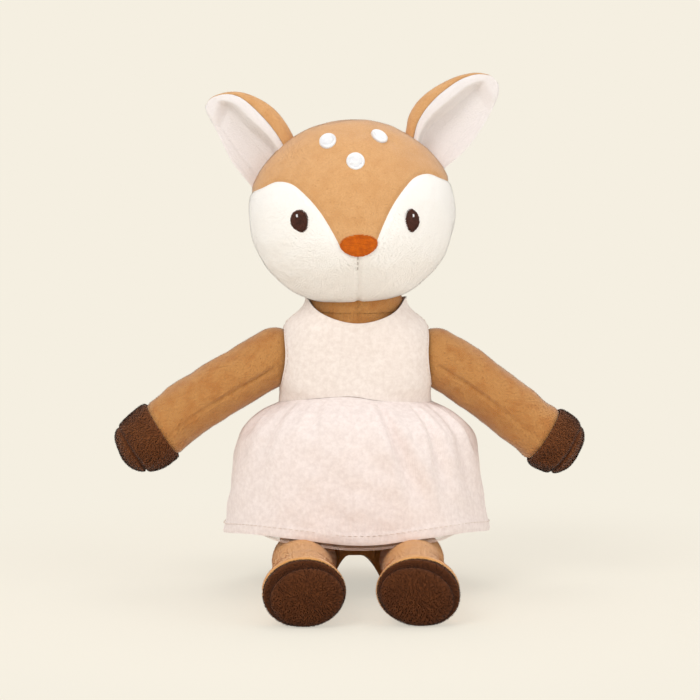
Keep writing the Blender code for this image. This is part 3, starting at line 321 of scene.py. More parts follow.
class Piece:
    """Collects the surfaces, fibres and threads of one piece and writes them as one mesh."""

    FINE_CLUMP = 0.35
    LEAST_FIBRE = 0.00008
    FIBRE_ROOT = 0.00012
    THREAD_END = 0.35

    def __init__(self, name: str) -> None:
        """Starts an empty piece with a name."""
        self.name = name
        self.points: list[Array] = []
        self.normals: list[Array] = []
        self.tips: list[Array] = []
        self.faces: list[tuple[Array, Array, int]] = []
        self.count = 0
        self.windows = 0

    def _add_points(self, points: Array, normals: Array, tip: float | Array) -> int:
        """Keeps points with their normals and how far up the pile they are."""
        start = self.count
        flat = points.reshape(-1, 3)
        self.points.append(flat)
        self.normals.append(np.broadcast_to(normals, points.shape).reshape(-1, 3))
        self.tips.append(np.broadcast_to(tip, flat.shape[:1]))
        self.count += len(flat)
        return start

    def _add_faces(self, faces: Array, places: Array, finish: int = 0) -> None:
        """Keeps faces with the place of each corner on the piece's map."""
        if len(faces):
            self.faces.append((faces, places, finish))

    def _quads(self, index: Array, window: int, turned: bool, grid: Grid) -> None:
        """Adds the faces of a grid of point numbers, with its map in one window."""
        rows, columns = index.shape
        place = shares_over(rows, columns) * (0.96, 1.0) + (window + 0.02, 0.0)
        ends = [(slice(a, rows - 1 + a), slice(b, columns - 1 + b)) for a, b in CORNERS]
        faces = np.stack([index[end] for end in ends], -1)
        places = np.stack([place[end] for end in ends], -2)
        if turned:
            faces, places = faces[..., ::-1], places[..., ::-1, :]
        first, last = int(grid.pole_start), rows - 1 - int(grid.pole_end)
        self._add_faces(faces[first:last].reshape(-1, 4), places[first:last].reshape(-1, 4, 2))
        for pole, row, plain, back in ((grid.pole_start, 0, [0, 2, 3], [0, 1, 3]),
                                       (grid.pole_end, -1, [0, 1, 2], [1, 2, 3])):
            if pole:
                keep = back if turned else plain
                self._add_faces(faces[row][:, keep], places[row][:, keep])

    def add_skin(self, grid: Grid, tip: float = 0.35) -> int:
        """Adds a surface with no wall of its own, closed by its poles.

        Args:
            grid: the surface.
            tip: how far up the pile its colour is.

        Returns:
            The map window that its faces are in.
        """
        window = self.windows
        self.windows += 1
        start = self._add_points(grid.points, grid.normals(), tip)
        self._quads(grid.indices(start), window, False, grid)
        return window

    def add_shell(self, grid: Grid, wall: float | Array, tip: float | Array = 0.5) -> int:
        """Adds a surface with a wall: the same surface again, a wall's thickness inwards.

        Args:
            grid: the outer surface.
            wall: the thickness, one number or one for each point.
            tip: how far up the pile its colour is.

        Returns:
            The map window that the outer faces are in.
        """
        window = self.windows
        self.windows += 3
        normals = grid.normals()
        inner = grid.points - normals * np.asarray(wall)[..., None]
        outer_index = grid.indices(self._add_points(grid.points, normals, tip))
        inner_index = grid.indices(self._add_points(inner, -normals, 0.0))
        self._quads(outer_index, window, False, grid)
        self._quads(inner_index, window + 1, True, grid)
        borders = []
        if not grid.pole_start:
            borders.append((outer_index[0], inner_index[0], True))
        if not grid.pole_end:
            borders.append((outer_index[-1], inner_index[-1], False))
        if not grid.ring:
            borders.append((outer_index[:, 0], inner_index[:, 0], False))
            borders.append((outer_index[:, -1], inner_index[:, -1], True))
        for number, (outer, inside, turned) in enumerate(borders):
            faces = np.stack((outer[:-1], outer[1:], inside[1:], inside[:-1]), -1)
            faces = faces[outer[:-1] != outer[1:]]
            along = np.linspace(0, 1, len(faces) + 1)
            low = window + 2 + number / len(borders) + 0.02
            high = low + 0.8 / len(borders)
            places = np.empty((len(faces), 4, 2))
            places[..., 0] = (low, low, high, high)
            places[..., 1] = np.stack((along[:-1], along[1:], along[1:], along[:-1]), -1)
            self._add_faces(faces[:, ::-1] if turned else faces, places)
        return window

    def add_pile(self, grid: Grid, window: int, pile: Pile, cover: Array | None = None,
                 least_height: float | None = None) -> None:
        """Grows a pile on a surface: each fibre is a thin closed spike of four faces.

        The fibres are spread evenly over the area. Each leans the way that the pile is combed,
        and a field of soft bumps turns and shortens neighbours together, as real pile clumps.

        Args:
            grid: the surface.
            window: the map window of the surface's faces.
            pile: the fibres.
            cover: how much of the full length stands at each point, 0 for none.
            least_height: fibres keep above this height.
        """
        made = np.random.default_rng(pile.seed)
        rows, columns = grid.points.shape[:2]
        cover = np.ones((rows, columns)) if cover is None else cover
        fields = np.concatenate((grid.points, grid.normals(), shares_over(rows, columns),
                                 cover[..., None]), -1)
        if grid.ring:
            fields = np.concatenate((fields, fields[:, :1]), 1)
            fields[..., 6] = np.linspace(0, 1, columns + 1)
        last = fields.shape[1] - 1
        a, b, c, d = (fields[i : rows - 1 + i, j : last + j].reshape(-1, 9) for i, j in CORNERS)
        corners = np.stack([np.concatenate(pair) for pair in ((a, a), (b, c), (c, d))], 1)
        edges = corners[:, 1:, :3] - corners[:, :1, :3]
        areas = np.linalg.norm(np.cross(edges[:, 0], edges[:, 1]), axis=1) / 2
        areas *= corners[:, :, 8].max(1) > 0.02
        total = areas.sum()
        number = int(total * 1e6 * pile.per_mm2)
        if number < 10:
            return
        places = (np.arange(number) + made.random(number)) / number * total
        chosen = np.minimum(np.searchsorted(np.cumsum(areas), places), len(areas) - 1)
        weights = made.dirichlet((1.0, 1.0, 1.0), number)
        here = (corners[chosen] * weights[..., None]).sum(1)
        base, out = here[:, :3], unit(here[:, 3:6])
        comb = np.array(pile.comb, float)
        comb = comb - out * (out @ comb)[:, None]
        sway, fine = (
            np.stack([Ripple(size, pile.seed + start + step * axis).at(base)
                      for axis in range(3)], -1)
            for size, start, step in ((pile.clump, 1, 7), (pile.clump * self.FINE_CLUMP, 2, 5)))
        way = unit(comb + 0.3 * sway + 0.2 * fine + 0.25 * made.normal(size=base.shape))
        way = unit(way - out * (way * out).sum(-1, keepdims=True))
        lean = pile.lean * (0.75 + 0.5 * made.random((number, 1)))
        rise = unit(out * np.cos(lean) + way * np.sin(lean))
        height = pile.length * here[:, 8] * (0.78 + 0.08 * sway[:, 0] + 0.08 * fine[:, 1]
                                            + 0.24 * made.random(number))
        tip = base + rise * np.maximum(height, self.LEAST_FIBRE)[:, None]
        beside = unit(np.cross(out, way))
        foot = base - out * self.FIBRE_ROOT
        half = pile.width / 2
        ring = [foot + beside * half, foot - beside * half * 0.6 + way * half,
                foot - beside * half * 0.6 - way * half]
        spikes = np.stack([*ring, tip], 1)
        if least_height is not None:
            spikes[..., 2] = np.maximum(spikes[..., 2], least_height)
        shade = unit(out * 0.93 + rise * 0.15)
        start = self._add_points(spikes, shade[:, None], np.tile((0.0, 0.0, 0.0, 1.0), number))
        numbers = start + 4 * np.arange(number)[:, None]
        faces = numbers[:, None] + np.array(((0, 1, 3), (1, 2, 3), (2, 0, 3), (0, 2, 1)))
        spread = np.array(((0, 0), (0.002, 0), (0.001, 0.002)))
        spot = np.stack((window + 0.02 + 0.94 * here[:, 6], 0.99 * here[:, 7]), -1)
        places = np.broadcast_to(spot[:, None, None] + spread, (number, 4, 3, 2))
        self._add_faces(faces.reshape(-1, 3), places.reshape(-1, 3, 2))

    def add_threads(self, paths: Array, radius: float, finish: int = 0, sides: int = 5,
                    flat: float = 1.0, up: Array | None = None) -> None:
        """Adds threads, each a round closed tube along its own path that thins at its ends.

        Args:
            paths: threads by points by 3.
            radius: the thread's radius.
            finish: the number of the material.
            sides: how many sides the tube has.
            flat: its height over its width, for threads that are pressed flat.
            up: the way each thread's flat side looks, one for each thread or point.
        """
        number, steps = paths.shape[:2]
        window = self.windows
        self.windows += 1
        along = unit(np.gradient(paths, axis=1))
        look = np.broadcast_to(FORWARD if up is None else up, paths.shape)
        beside = unit(np.cross(along, look))
        above = unit(np.cross(beside, along))
        size = np.full(steps, radius)
        size[[0, -1]] *= self.THREAD_END
        turns = turns_round(sides)
        ways = (beside[:, :, None] * np.cos(turns)[:, None]
                + above[:, :, None] * np.sin(turns)[:, None] * flat)
        rings = paths[:, :, None] + ways * size[:, None, None]
        start = self._add_points(rings, unit(ways), 1.0)
        index = start + np.arange(number * steps * sides).reshape(number, steps, sides)
        after = np.roll(index, -1, 2)
        faces = np.stack((index[:, :-1], index[:, 1:], after[:, 1:], after[:, :-1]), -1)
        row = (np.arange(number) + 0.1) / number
        across = row[:, None, None] + np.arange(sides) / sides * 0.8 / number
        upward = np.linspace(0, 0.9, steps)[:-1, None]
        width, tall = 0.7 / number / sides, 0.9 / steps
        places = np.stack([np.stack(np.broadcast_arrays(
            window + 0.02 + 0.96 * (across + a * width), upward + b * tall), -1)
            for a, b in CORNERS], -2)
        self._add_faces(faces.reshape(-1, 4), places.reshape(-1, 4, 2), finish)
        for ring in (index[:, 0], index[:, -1, ::-1]):
            fan = np.stack([np.stack((ring[:, 0], ring[:, k], ring[:, k + 1]), -1)
                            for k in range(1, sides - 1)], 1)
            spot = np.stack((window + 0.02 + 0.9 * row, np.full(number, 0.92)), -1)
            spread = np.array(((0, 0), (0.3 / number, 0), (0.1 / number, 0.02)))
            places = np.broadcast_to(spot[:, None, None] + spread, (*fan.shape, 2))
            self._add_faces(fan.reshape(-1, 3), places.reshape(-1, 3, 2), finish)

    def build(self, *finishes: str) -> bpy.types.Object:
        """Writes the piece as one mesh object at the origin.

        Args:
            finishes: the names of its finishes, in the order of their numbers.

        Returns:
            The object.
        """
        mesh = bpy.data.meshes.new(self.name)
        points = np.concatenate(self.points)
        sizes = np.concatenate([np.full(len(faces), faces.shape[1]) for faces, _, _ in self.faces])
        finish = np.concatenate([np.full(len(faces), number) for faces, _, number in self.faces])
        loops = np.concatenate([faces.reshape(-1) for faces, _, _ in self.faces])
        places = np.concatenate([places.reshape(-1, 2) for _, places, _ in self.faces])
        places = places / (max(self.windows, 1), 1.0)
        used = np.unique(loops)
        renumbered = np.zeros(len(points), np.int64)
        renumbered[used] = np.arange(len(used))
        points, loops = points[used], renumbered[loops]
        mesh.vertices.add(len(points))
        mesh.loops.add(len(loops))
        mesh.polygons.add(len(sizes))
        for target, name, values, kind in (
            (mesh.vertices, "co", points, np.float32),
            (mesh.loops, "vertex_index", loops, np.int32),
            (mesh.polygons, "loop_start", np.r_[0, np.cumsum(sizes)[:-1]], np.int32),
            (mesh.polygons, "material_index", finish, np.int32),
        ):
            target.foreach_set(name, values.astype(kind).ravel())
        layer = mesh.uv_layers.new(name="OFBake")
        layer.uv.foreach_set("vector", np.clip(places, 0, 1).astype(np.float32).ravel())
        tips = mesh.attributes.new("pile_tip", "FLOAT", "POINT")
        tips.data.foreach_set("value", np.concatenate(self.tips)[used].astype(np.float32))
        mesh.update(calc_edges=True)
        mesh.shade_smooth()
        mesh.normals_split_custom_set_from_vertices(np.concatenate(self.normals)[used])
        for name in finishes:
            mesh.materials.append(material(name))
        LOG.info("%s: %d points, %d faces", self.name, len(points), len(sizes))
        return put_in_scene(self.name, mesh)


def put_in_scene(name: str, data: bpy.types.ID) -> bpy.types.Object:
    """Makes an object of a mesh, lamp or camera and puts it in the scene."""
    made = bpy.data.objects.new(name, data)
    bpy.context.scene.collection.objects.link(made)
    return made


# ---------------------------------------------------------------- finishes


Socket = bpy.types.NodeSocket


class Tree:
    """A short way to write the shader nodes of a material or world."""

    def __init__(self, owner: bpy.types.Material | bpy.types.World) -> None:
        """Takes the owner's tree."""
        owner.use_nodes = True
        self.owner = owner
        self.tree = owner.node_tree

    def put(self, socket: Socket, value: object) -> None:
        """Joins another socket to an input, or sets the input's own value."""
        if isinstance(value, Socket):
            self.tree.links.new(value, socket)
        else:
            socket.default_value = value

    def add(self, kind: str, inputs: dict, **settings: object) -> bpy.types.Node:
        """Adds a node with its settings and what each input takes, a value or a socket."""
        made = self.tree.nodes.new("ShaderNode" + kind)
        for name, value in settings.items():
            setattr(made, name, value)
        for name, value in inputs.items():
            self.put(made.inputs[name], value)
        return made

    def sum(self, kind: str, first: object, second: object = 0.0) -> Socket:
        """Works out one sum of two values, each a number or a socket."""
        return self.add("Math", {0: first, 1: second}, operation=kind).outputs[0]

    def plus(self, first: object, second: object) -> Socket:
        """Adds two values."""
        return self.sum("ADD", first, second)

    def times(self, first: object, second: object) -> Socket:
        """Multiplies two values."""
        return self.sum("MULTIPLY", first, second)

    def seen(self) -> Socket:
        """1 for a ray from the camera, a reflection or a see-through surface."""
        ray = self.add("LightPath", {}).outputs
        return self.sum("MAXIMUM", self.sum("MAXIMUM", ray["Is Camera Ray"], ray["Is Glossy Ray"]),
                        ray["Is Transmission Ray"])

    def join(self, part: Socket, first: Socket, second: Socket) -> Socket:
        """Mixes two shaders by a part."""
        return self.add("MixShader", {"Fac": part, 1: first, 2: second}).outputs["Shader"]


class Nodes(Tree):
    """The nodes of a material of one Principled shader."""

    def __init__(self, name: str) -> None:
        """Starts the material."""
        super().__init__(bpy.data.materials.new(name))
        self.shader = self.tree.nodes["Principled BSDF"]
        self.place = self.add("TexCoord", {}).outputs["Object"]

    def noise(self, scale: float, detail: float = 2.0, rough: float = 0.5,
              place: Socket | None = None) -> Socket:
        """A noise's value at the place on the object."""
        place = self.place if place is None else place
        return self.add("TexNoise", {"Scale": scale, "Detail": detail, "Roughness": rough,
                                     "Vector": place}).outputs["Fac"]

    def spread(self, value: Socket, low: float, high: float, to_low: float = 0.0,
               to_high: float = 1.0, way: str = "LINEAR") -> Socket:
        """Stretches a value from one range to another, held at the ends."""
        return self.add("MapRange", {"Value": value, "From Min": low, "From Max": high,
                                     "To Min": to_low, "To Max": to_high},
                        interpolation_type=way).outputs["Result"]

    def mix(self, part: Socket, first: object, second: object) -> Socket:
        """Mixes two colours, each a colour or a socket, by a part."""
        return self.add("Mix", {0: part, 6: first, 7: second}, data_type="RGBA").outputs[2]

    def bump(self, height: Socket, distance: float, strength: float) -> None:
        """Raises the surface by a height, in metres times the distance."""
        made = self.add("Bump", {"Distance": distance, "Strength": strength, "Height": height})
        self.put(self.shader.inputs["Normal"], made.outputs["Normal"])

    def finish(self, colour: Socket, rough: float, sheen: float = 0.0, sheen_rough: float = 0.5,
               specular: float = 0.25) -> bpy.types.Material:
        """Sets the colour and the plain numbers on the shader's own sockets."""
        for name, value in (("Base Color", colour), ("Roughness", rough), ("Sheen Weight", sheen),
                            ("Specular IOR Level", specular), ("Sheen Roughness", sheen_rough)):
            self.put(self.shader.inputs[name], value)
        self.owner.diffuse_color = (0.6, 0.6, 0.6, 1.0)
        return self.owner


@dataclass(frozen=True)
class PlushFinish:
    """Short knitted plush: darker at the root of its pile, mottled where it clumps."""

    name: str
    root: Colour
    tip: Colour
    fleck: Colour
    mottle: float = 0.5
    sheen: float = 0.4

    def make(self) -> bpy.types.Material:
        """Builds the material: the pile's own colour, soft patches of 6 mm and flecks of 0.8 mm."""
        nodes = Nodes(self.name)
        tip = nodes.add("Attribute", {}, attribute_name="pile_tip").outputs["Fac"]
        fine = nodes.noise(1250.0, 2.0, 0.6)
        wide = nodes.noise(170.0, 3.0, 0.55)
        height = nodes.plus(nodes.spread(tip, 0.0, 1.0, 0.2, 0.9),
                            nodes.spread(fine, 0.3, 0.7, -0.12, 0.12))
        colour = nodes.mix(height, self.root, self.tip)
        patches = nodes.spread(wide, 0.42, 0.68, 0.0, self.mottle)
        colour = nodes.mix(patches, colour, self.fleck)
        specks = nodes.spread(nodes.noise(900.0, 1.0), 0.62, 0.76, 0.0, self.mottle)
        colour = nodes.mix(specks, colour, self.root)
        nodes.bump(nodes.plus(fine, nodes.times(wide, 1.4)), 0.00024, 0.6)
        return nodes.finish(colour, 0.93, self.sheen, 0.45)


@dataclass(frozen=True)
class Finish:
    """A finish between a light and a dark colour."""

    name: str
    light: Colour
    dark: Colour


@dataclass(frozen=True)
class LinenFinish(Finish):
    """Plain woven linen: warp and weft with thicker slubs here and there."""

    pitch: float = 0.00052
    radius: float = 0.045

    def make(self) -> bpy.types.Material:
        """Builds the weave from two sets of ribs that pass over each other in turn."""
        nodes = Nodes(self.name)
        place = nodes.add("SeparateXYZ", {"Vector": nodes.place}).outputs
        way = nodes.sum("ARCTAN2", place["X"], nodes.times(place["Y"], -1.0))
        turn = 2 * pi / self.pitch
        slub = nodes.noise(70.0)
        warp = nodes.sum("SINE", nodes.plus(nodes.times(way, self.radius * turn),
                                            nodes.times(slub, 5.0)))
        weft = nodes.sum("SINE", nodes.plus(nodes.times(place["Z"], turn), nodes.times(slub, 4.0)))
        height = nodes.plus(nodes.times(nodes.times(warp, weft), 0.5),
                            nodes.times(nodes.sum("MAXIMUM", warp, weft), 0.5))
        thick = nodes.noise(420.0, 3.0, 0.65)
        shade = nodes.plus(nodes.spread(height, -1.0, 1.0, 0.0, 0.6),
                           nodes.spread(thick, 0.35, 0.7, 0.0, 0.5))
        colour = nodes.mix(shade, self.dark, self.light)
        nodes.bump(nodes.plus(height, nodes.times(thick, 2.0)), 0.00009, 0.8)
        return nodes.finish(colour, 0.9, 0.12, 0.4)


@dataclass(frozen=True)
class ThreadFinish(Finish):
    """Twisted embroidery thread with a soft gloss and the colour's own change along it."""

    rough: float = 0.45

    def make(self) -> bpy.types.Material:
        """Builds the twist from a fine noise, and the colour from that and a wider one."""
        nodes = Nodes(self.name)
        twist = nodes.noise(2600.0, 2.0, 0.6)
        part = nodes.plus(nodes.times(twist, 0.6), nodes.times(nodes.noise(500.0), 0.5))
        colour = nodes.mix(nodes.spread(part, 0.35, 0.75), self.dark, self.light)
        nodes.bump(twist, 0.00008, 0.6)
        return nodes.finish(colour, self.rough)


@dataclass(frozen=True)
class NetFinish(Finish):
    """Fine nylon net thread, whose colour changes a little from place to place."""

    def make(self) -> bpy.types.Material:
        """Builds the thread's colour and its slight roughness from one noise."""
        nodes = Nodes(self.name)
        part = nodes.spread(nodes.noise(800.0), 0.3, 0.7)
        colour = nodes.mix(part, self.dark, self.light)
        nodes.bump(part, 0.00005, 0.3)
        return nodes.finish(colour, 0.55, 0.1)


@dataclass(frozen=True)
class FillingFinish(Finish):
    """Crimped white fibre filling."""

    def make(self) -> bpy.types.Material:
        """Builds crossing fibres from a stretched noise and a plain one."""
        nodes = Nodes(self.name)
        stretched = nodes.add("Mapping", {"Scale": (1.0, 0.25, 0.6), "Vector": nodes.place})
        one = nodes.noise(1400.0, 4.0, 0.7, stretched.outputs["Vector"])
        part = nodes.times(nodes.plus(one, nodes.noise(900.0, 4.0, 0.7)), 0.5)
        colour = nodes.mix(nodes.spread(part, 0.35, 0.65), self.dark, self.light)
        nodes.bump(part, 0.0006, 0.8)
        return nodes.finish(colour, 0.95, 0.2)


@dataclass(frozen=True)
class PelletFinish(Finish):
    """A bag of small plastic pellets: round bumps under thin cloth."""

    def make(self) -> bpy.types.Material:
        """Builds round cells of 2.5 mm."""
        nodes = Nodes(self.name)
        cells = nodes.add("TexVoronoi", {"Scale": 400.0, "Vector": nodes.place})
        part = nodes.spread(cells.outputs["Distance"], 0.0, 0.6, 1.0, 0.0)
        colour = nodes.mix(part, self.dark, self.light)
        nodes.bump(part, 0.0008, 0.9)
        return nodes.finish(colour, 0.6)


FINISHES = {
    finish.name: finish for finish in (
        PlushFinish("plush_caramel", linear(158, 101, 47), linear(212, 157, 96),
                    linear(172, 108, 52), 0.6),
        PlushFinish("plush_legs", linear(198, 133, 60), linear(240, 179, 99),
                    linear(208, 141, 70), 0.45),
        PlushFinish("plush_pale_caramel", linear(190, 135, 80), linear(234, 186, 133),
                    linear(204, 149, 94), 0.5),
        PlushFinish("plush_cream", linear(246, 241, 237), linear(255, 255, 253),
                    linear(250, 246, 242), 0.25),
        # painted shade: a darker copy of the cream plush for the ear linings, standing in for the
        # shade in the ears' hollows
        PlushFinish("plush_lining", linear(226, 220, 218), linear(244, 239, 240),
                    linear(237, 231, 229), 0.25),
        PlushFinish("plush_hoof", linear(70, 34, 12), linear(138, 82, 43),
                    linear(95, 50, 22), 0.45, 0.2),
        PlushFinish("plush_sole", linear(56, 25, 6), linear(117, 65, 29),
                    linear(77, 38, 13), 0.5, 0.1),
        LinenFinish("linen", linear(250, 239, 236), linear(222, 208, 204)),
        LinenFinish("linen_bodice", linear(248, 238, 232), linear(222, 208, 200)),
        LinenFinish("touch_tape", linear(236, 226, 212), linear(196, 184, 168), 0.0009),
        NetFinish("tulle", linear(244, 224, 214), linear(232, 205, 192)),
        ThreadFinish("thread_orange", linear(224, 114, 2), linear(180, 80, 0), 0.6),
        ThreadFinish("thread_brown", linear(92, 50, 36), linear(38, 16, 10), 0.5),
        ThreadFinish("thread_white", linear(255, 255, 255), linear(240, 241, 246), 0.6),
        ThreadFinish("thread_grey", linear(176, 166, 160), linear(120, 108, 102), 0.7),
        ThreadFinish("thread_linen", linear(240, 226, 216), linear(206, 190, 178), 0.6),
        FillingFinish("filling", linear(244, 244, 240), linear(205, 205, 200)),
        PelletFinish("pellets", linear(190, 190, 184), linear(120, 120, 116)),
    )
}


@cache
def material(name: str) -> bpy.types.Material:
    """The material of a finish, made at its first use."""
    return FINISHES[name].make()


# ---------------------------------------------------------------- sewing


def dress_piece(made: bpy.types.Object, body: str, slot: str, *nodes: str,
                fill: float | None = None) -> bpy.types.Object:
    """Puts a finished piece on the body that it rides on and hides the nodes that it stands for.

    Args:
        made: the piece.
        body: the body that it rides on.
        slot: the record's material slot; not used.
        nodes: the nodes that it replaces.
        fill: how full it is stuffed, where it is padded; not used.

    Returns:
        The piece.
    """
    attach(made, body)
    if nodes:
        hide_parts(*nodes)
    LOG.info("%s rides on %s", made.name, body)
    return made


def bend_piece(made: bpy.types.Object, bodies: tuple[str, str],
               node: str | None) -> None:
    """Hides the node that a piece spanning from one body to the next stands for, and bakes its
    place into its mesh.

    Args:
        made: the piece.
        bodies: the body that it starts on and the one that it ends on.
        node: the node that it replaces, if any.
    """
    if node is not None:
        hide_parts(node)
    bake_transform(made)
    LOG.info("%s bends from %s to %s", made.name, *bodies)


# ---------------------------------------------------------------- head


@dataclass
class Head:
    """The head: a forehead panel, two cheeks and two back panels over one filling, and the face."""

    half_width: float = 0.0515
    half_depth: float = 0.0500
    half_height: float = 0.0455
    centre: Place = (0.0, -0.0030, 0.1925)
    roundness: float = 2.25
    tilt: float = radians(3.0)
    pivot: Place = (0.0, 0.0, 0.1504)
    muzzle_reach: float = 0.0050
    muzzle_drop: float = 0.0190
    muzzle_half_width: float = 0.0200
    muzzle_half_height: float = 0.0190
    seam_back: float = 0.0070
    neck_ring: float = radians(25.4)
    wall: float = 0.0012
    seam_depth: float = 0.0009
    seam_half_width: float = 0.0013
    underside_hang: float = 0.0012
    panel_fullness: float = 0.0005
    fullness_reach: float = 0.009
    lump_height: float = 0.00035
    dimple_height: float = 0.00012
    lump_reach: float = 0.006
    filling_inset: float = 0.0024
    neck_hollow: float = 0.0197
    blaze: tuple = ((0.976, 0.243), (0.874, 0.319), (0.738, 0.380), (0.602, 0.352),
                    (0.478, 0.231), (0.355, 0.055), (0.264, -0.125), (0.190, -0.30),
                    (0.158, -0.385), (0.0, -0.465))
    rows: int = 96
    columns: int = 64
    forehead_columns: int = 104

    @property
    def size(self) -> Array:
        """The three half sizes."""
        return np.array((self.half_width, self.half_depth, self.half_height))

    def surface(self, ways: Array) -> Array:
        """The upright head's outside along directions from its middle.

        It is the surface where the coordinates over the half sizes, each to the power of the
        roundness, add up to 1. The roundness is smaller in the upper half. In front a low round
        swelling stands out as the muzzle, and the underside hangs a little lower in front.
        """
        ways = unit(ways)
        power = self.power(ways[..., 2])
        reach = (np.abs(ways / self.size) ** power[..., None]).sum(-1) ** (-1 / power)
        found = ways * reach[..., None]
        ahead = smooth_step(-ways[..., 1], -0.1, 0.5)
        hang = self.underside_hang + self.underside_hang * ahead
        found[..., 2] -= hang * smooth_step(-ways[..., 2], 0.55, 0.95)
        across = found[..., 0] / self.muzzle_half_width
        up = (found[..., 2] + self.muzzle_drop) / self.muzzle_half_height
        front = np.clip(-found[..., 1] / (self.half_depth / 2), 0.0, 1.0)
        found[..., 1] -= self.muzzle_reach * front * np.exp(-(across**2) - up**2)
        return found

    def power(self, rise: Array) -> Array:
        """The roundness for directions that rise by so much: 0.3 less from a rise of 0.6 up."""
        return self.roundness - 0.3 * smooth_step(rise, 0.0, 0.6)

    def turned(self, ways: Array) -> Array:
        """Directions of the upright head as they are on the tilted one."""
        return ways @ np.array(Matrix.Rotation(-self.tilt, 3, "Y")).T

    def carry(self, points: Array) -> Array:
        """Moves points of the upright head, from its middle, to their place on the tilted head."""
        pivot = np.array(self.pivot)
        return self.turned(points + np.array(self.centre) - pivot) + pivot

    def chart_way(self, places: Array, facing: int) -> Array:
        """Directions for places on a flat chart about straight ahead (-1) or straight back (1).

        The distance from the chart's middle is the angle away from that direction.
        """
        angle = np.linalg.norm(places, axis=-1)
        share = np.sinc(angle / pi)
        side, up = places[..., 0] * share, places[..., 1] * share
        return np.stack((side, facing * np.cos(angle), up), -1)

    def chart_place(self, ways: Array, facing: int) -> Array:
        """The chart places of directions: the other way round."""
        ways = unit(ways)
        angle = np.arccos(np.clip(facing * ways[..., 1], -1, 1))
        flat = ways[..., (0, 2)]
        far = np.maximum(np.linalg.norm(flat, axis=-1, keepdims=True), 1e-9)
        return flat / far * angle[..., None]

    def face_way(self, across: Array, up: Array) -> Array:
        """The direction of a place on the face that is seen straight in front at (across, up)."""
        depth = np.full(np.shape(across), self.half_depth * 0.8)
        for _ in range(8):
            power = self.power(up / np.sqrt(across**2 + up**2 + depth**2))
            left = 1 - np.abs(across / self.half_width) ** power
            left = left - np.abs(up / self.half_height) ** power
            depth = self.half_depth * np.maximum(left, 0.0) ** (1 / power)
        return np.stack((across, -depth, up), -1)

    def ring_way(self, turn: Array) -> Array:
        """Directions round the neck's opening: turn 0 is the toy's left, 90 degrees its front."""
        middle = unit(np.array((0.0, 0.0030, -0.0421)))
        ahead = unit(np.cross(middle, (1.0, 0.0, 0.0)))
        ahead = ahead if ahead[1] < 0 else -ahead
        side = np.array((1.0, 0.0, 0.0))
        turn = np.asarray(turn)[..., None]
        around = np.cos(turn) * side + np.sin(turn) * ahead
        return cos(self.neck_ring) * middle + sin(self.neck_ring) * around

    def arc_way(self, turn: Array) -> Array:
        """Directions along the seam that runs over the head behind the ears, by angle from +X."""
        left = 1 - abs(self.seam_back / self.half_depth) ** self.roundness
        down = np.abs(np.cos(turn) / self.half_width) ** self.roundness
        down = down + np.abs(np.sin(turn) / self.half_height) ** self.roundness
        reach = (left / down) ** (1 / self.roundness)
        return np.stack((reach * np.cos(turn), np.full_like(reach, self.seam_back),
                         reach * np.sin(turn)), -1)

    def __post_init__(self) -> None:
        """Finds where the seams meet and lays every seam as a row of points."""
        turns = np.linspace(0, -pi / 2, 400)
        behind = self.surface(self.ring_way(turns))[:, 1]
        self.side_turn = float(np.interp(self.seam_back, behind, turns))
        meets = self.surface(self.ring_way(np.array(self.side_turn)))
        self.arc_low = float(np.arctan2(meets[2], meets[0]))
        self.arc_top = float(np.arctan2(0.243 * self.half_height, 0.976 * self.half_width))
        border = np.array([(across * self.half_width, up * self.half_height)
                           for across, up in self.blaze[1:]])
        ways = self.face_way(border[:, 0], border[:, 1])
        corner = self.arc_way(np.array([self.arc_top]))
        self.border = smooth_path(self.chart_place(np.concatenate((corner, ways)), -1), 120)
        front = self.chart_place(self.ring_way(np.array([pi / 2])), -1)[0] * (0, 1)
        self.middle = np.linspace(self.border[-1] * (0, 1), front, 60)
        back_ends = (self.arc_way(np.array([pi / 2])), self.ring_way(np.array([-pi / 2])))
        levels = [self.chart_place(way, 1)[0, 1] for way in back_ends]
        self.back_line = np.stack((np.zeros(160), np.linspace(*levels, 160)), -1)
        self.seams = self.surface(np.concatenate((
            self.chart_way(self.border, -1), self.chart_way(self.border * (-1, 1), -1),
            self.chart_way(self.middle, -1),
            self.arc_way(np.linspace(self.arc_low, pi - self.arc_low, 300)),
            self.chart_way(self.back_line, 1), self.ring_way(np.linspace(0, 2 * pi, 200)))))
        self.lumps = Ripple(0.021, 31)
        self.dimples = Ripple(0.009, 32)

    def sewn(self, ways: Array) -> Array:
        """The surface with its seams drawn in and the panels full between them.

        The seam is a groove whose depth falls off as exp(-(distance/half width)^2), and the
        stuffing pushes each panel out by up to half a millimetre away from its seams.
        """
        points = self.surface(ways)
        out = unit(points / self.size**2)
        apart = nearest(points, self.seams)
        drawn = -self.seam_depth * bell(apart, self.seam_half_width)
        full = self.panel_fullness * (1 - bell(apart, self.fullness_reach))
        uneven = self.lump_height * self.lumps.at(points)
        uneven = uneven + self.dimple_height * self.dimples.at(points)
        uneven = uneven * (1 - bell(apart, self.lump_reach))
        return points + out * (drawn + full + uneven)[..., None]

    def patch(self, inner: Array, outer: Array, end: Array, facing: int, power: int,
              columns: int) -> Grid:
        """A panel between two border lines of a chart that start together, closed by an end line.

        A place is the straight blend from the inner to the outer line, moved near the far end
        by the gap between that blend and the end line, times a power of the way along.
        """
        inner = smooth_path(inner, self.rows)
        outer = smooth_path(outer, self.rows)
        along = np.linspace(0, 1, self.rows)[:, None, None]
        across = np.linspace(0, 1, columns)[None, :, None]
        gap = smooth_path(end, columns)[None] - mixed(inner[-1], outer[-1], across)
        places = mixed(inner[:, None], outer[:, None], across) + along**power * gap
        points = self.carry(self.sewn(self.chart_way(places, facing)))
        return Grid(points, pole_start=True).facing(points - self.carry(np.zeros(3)))

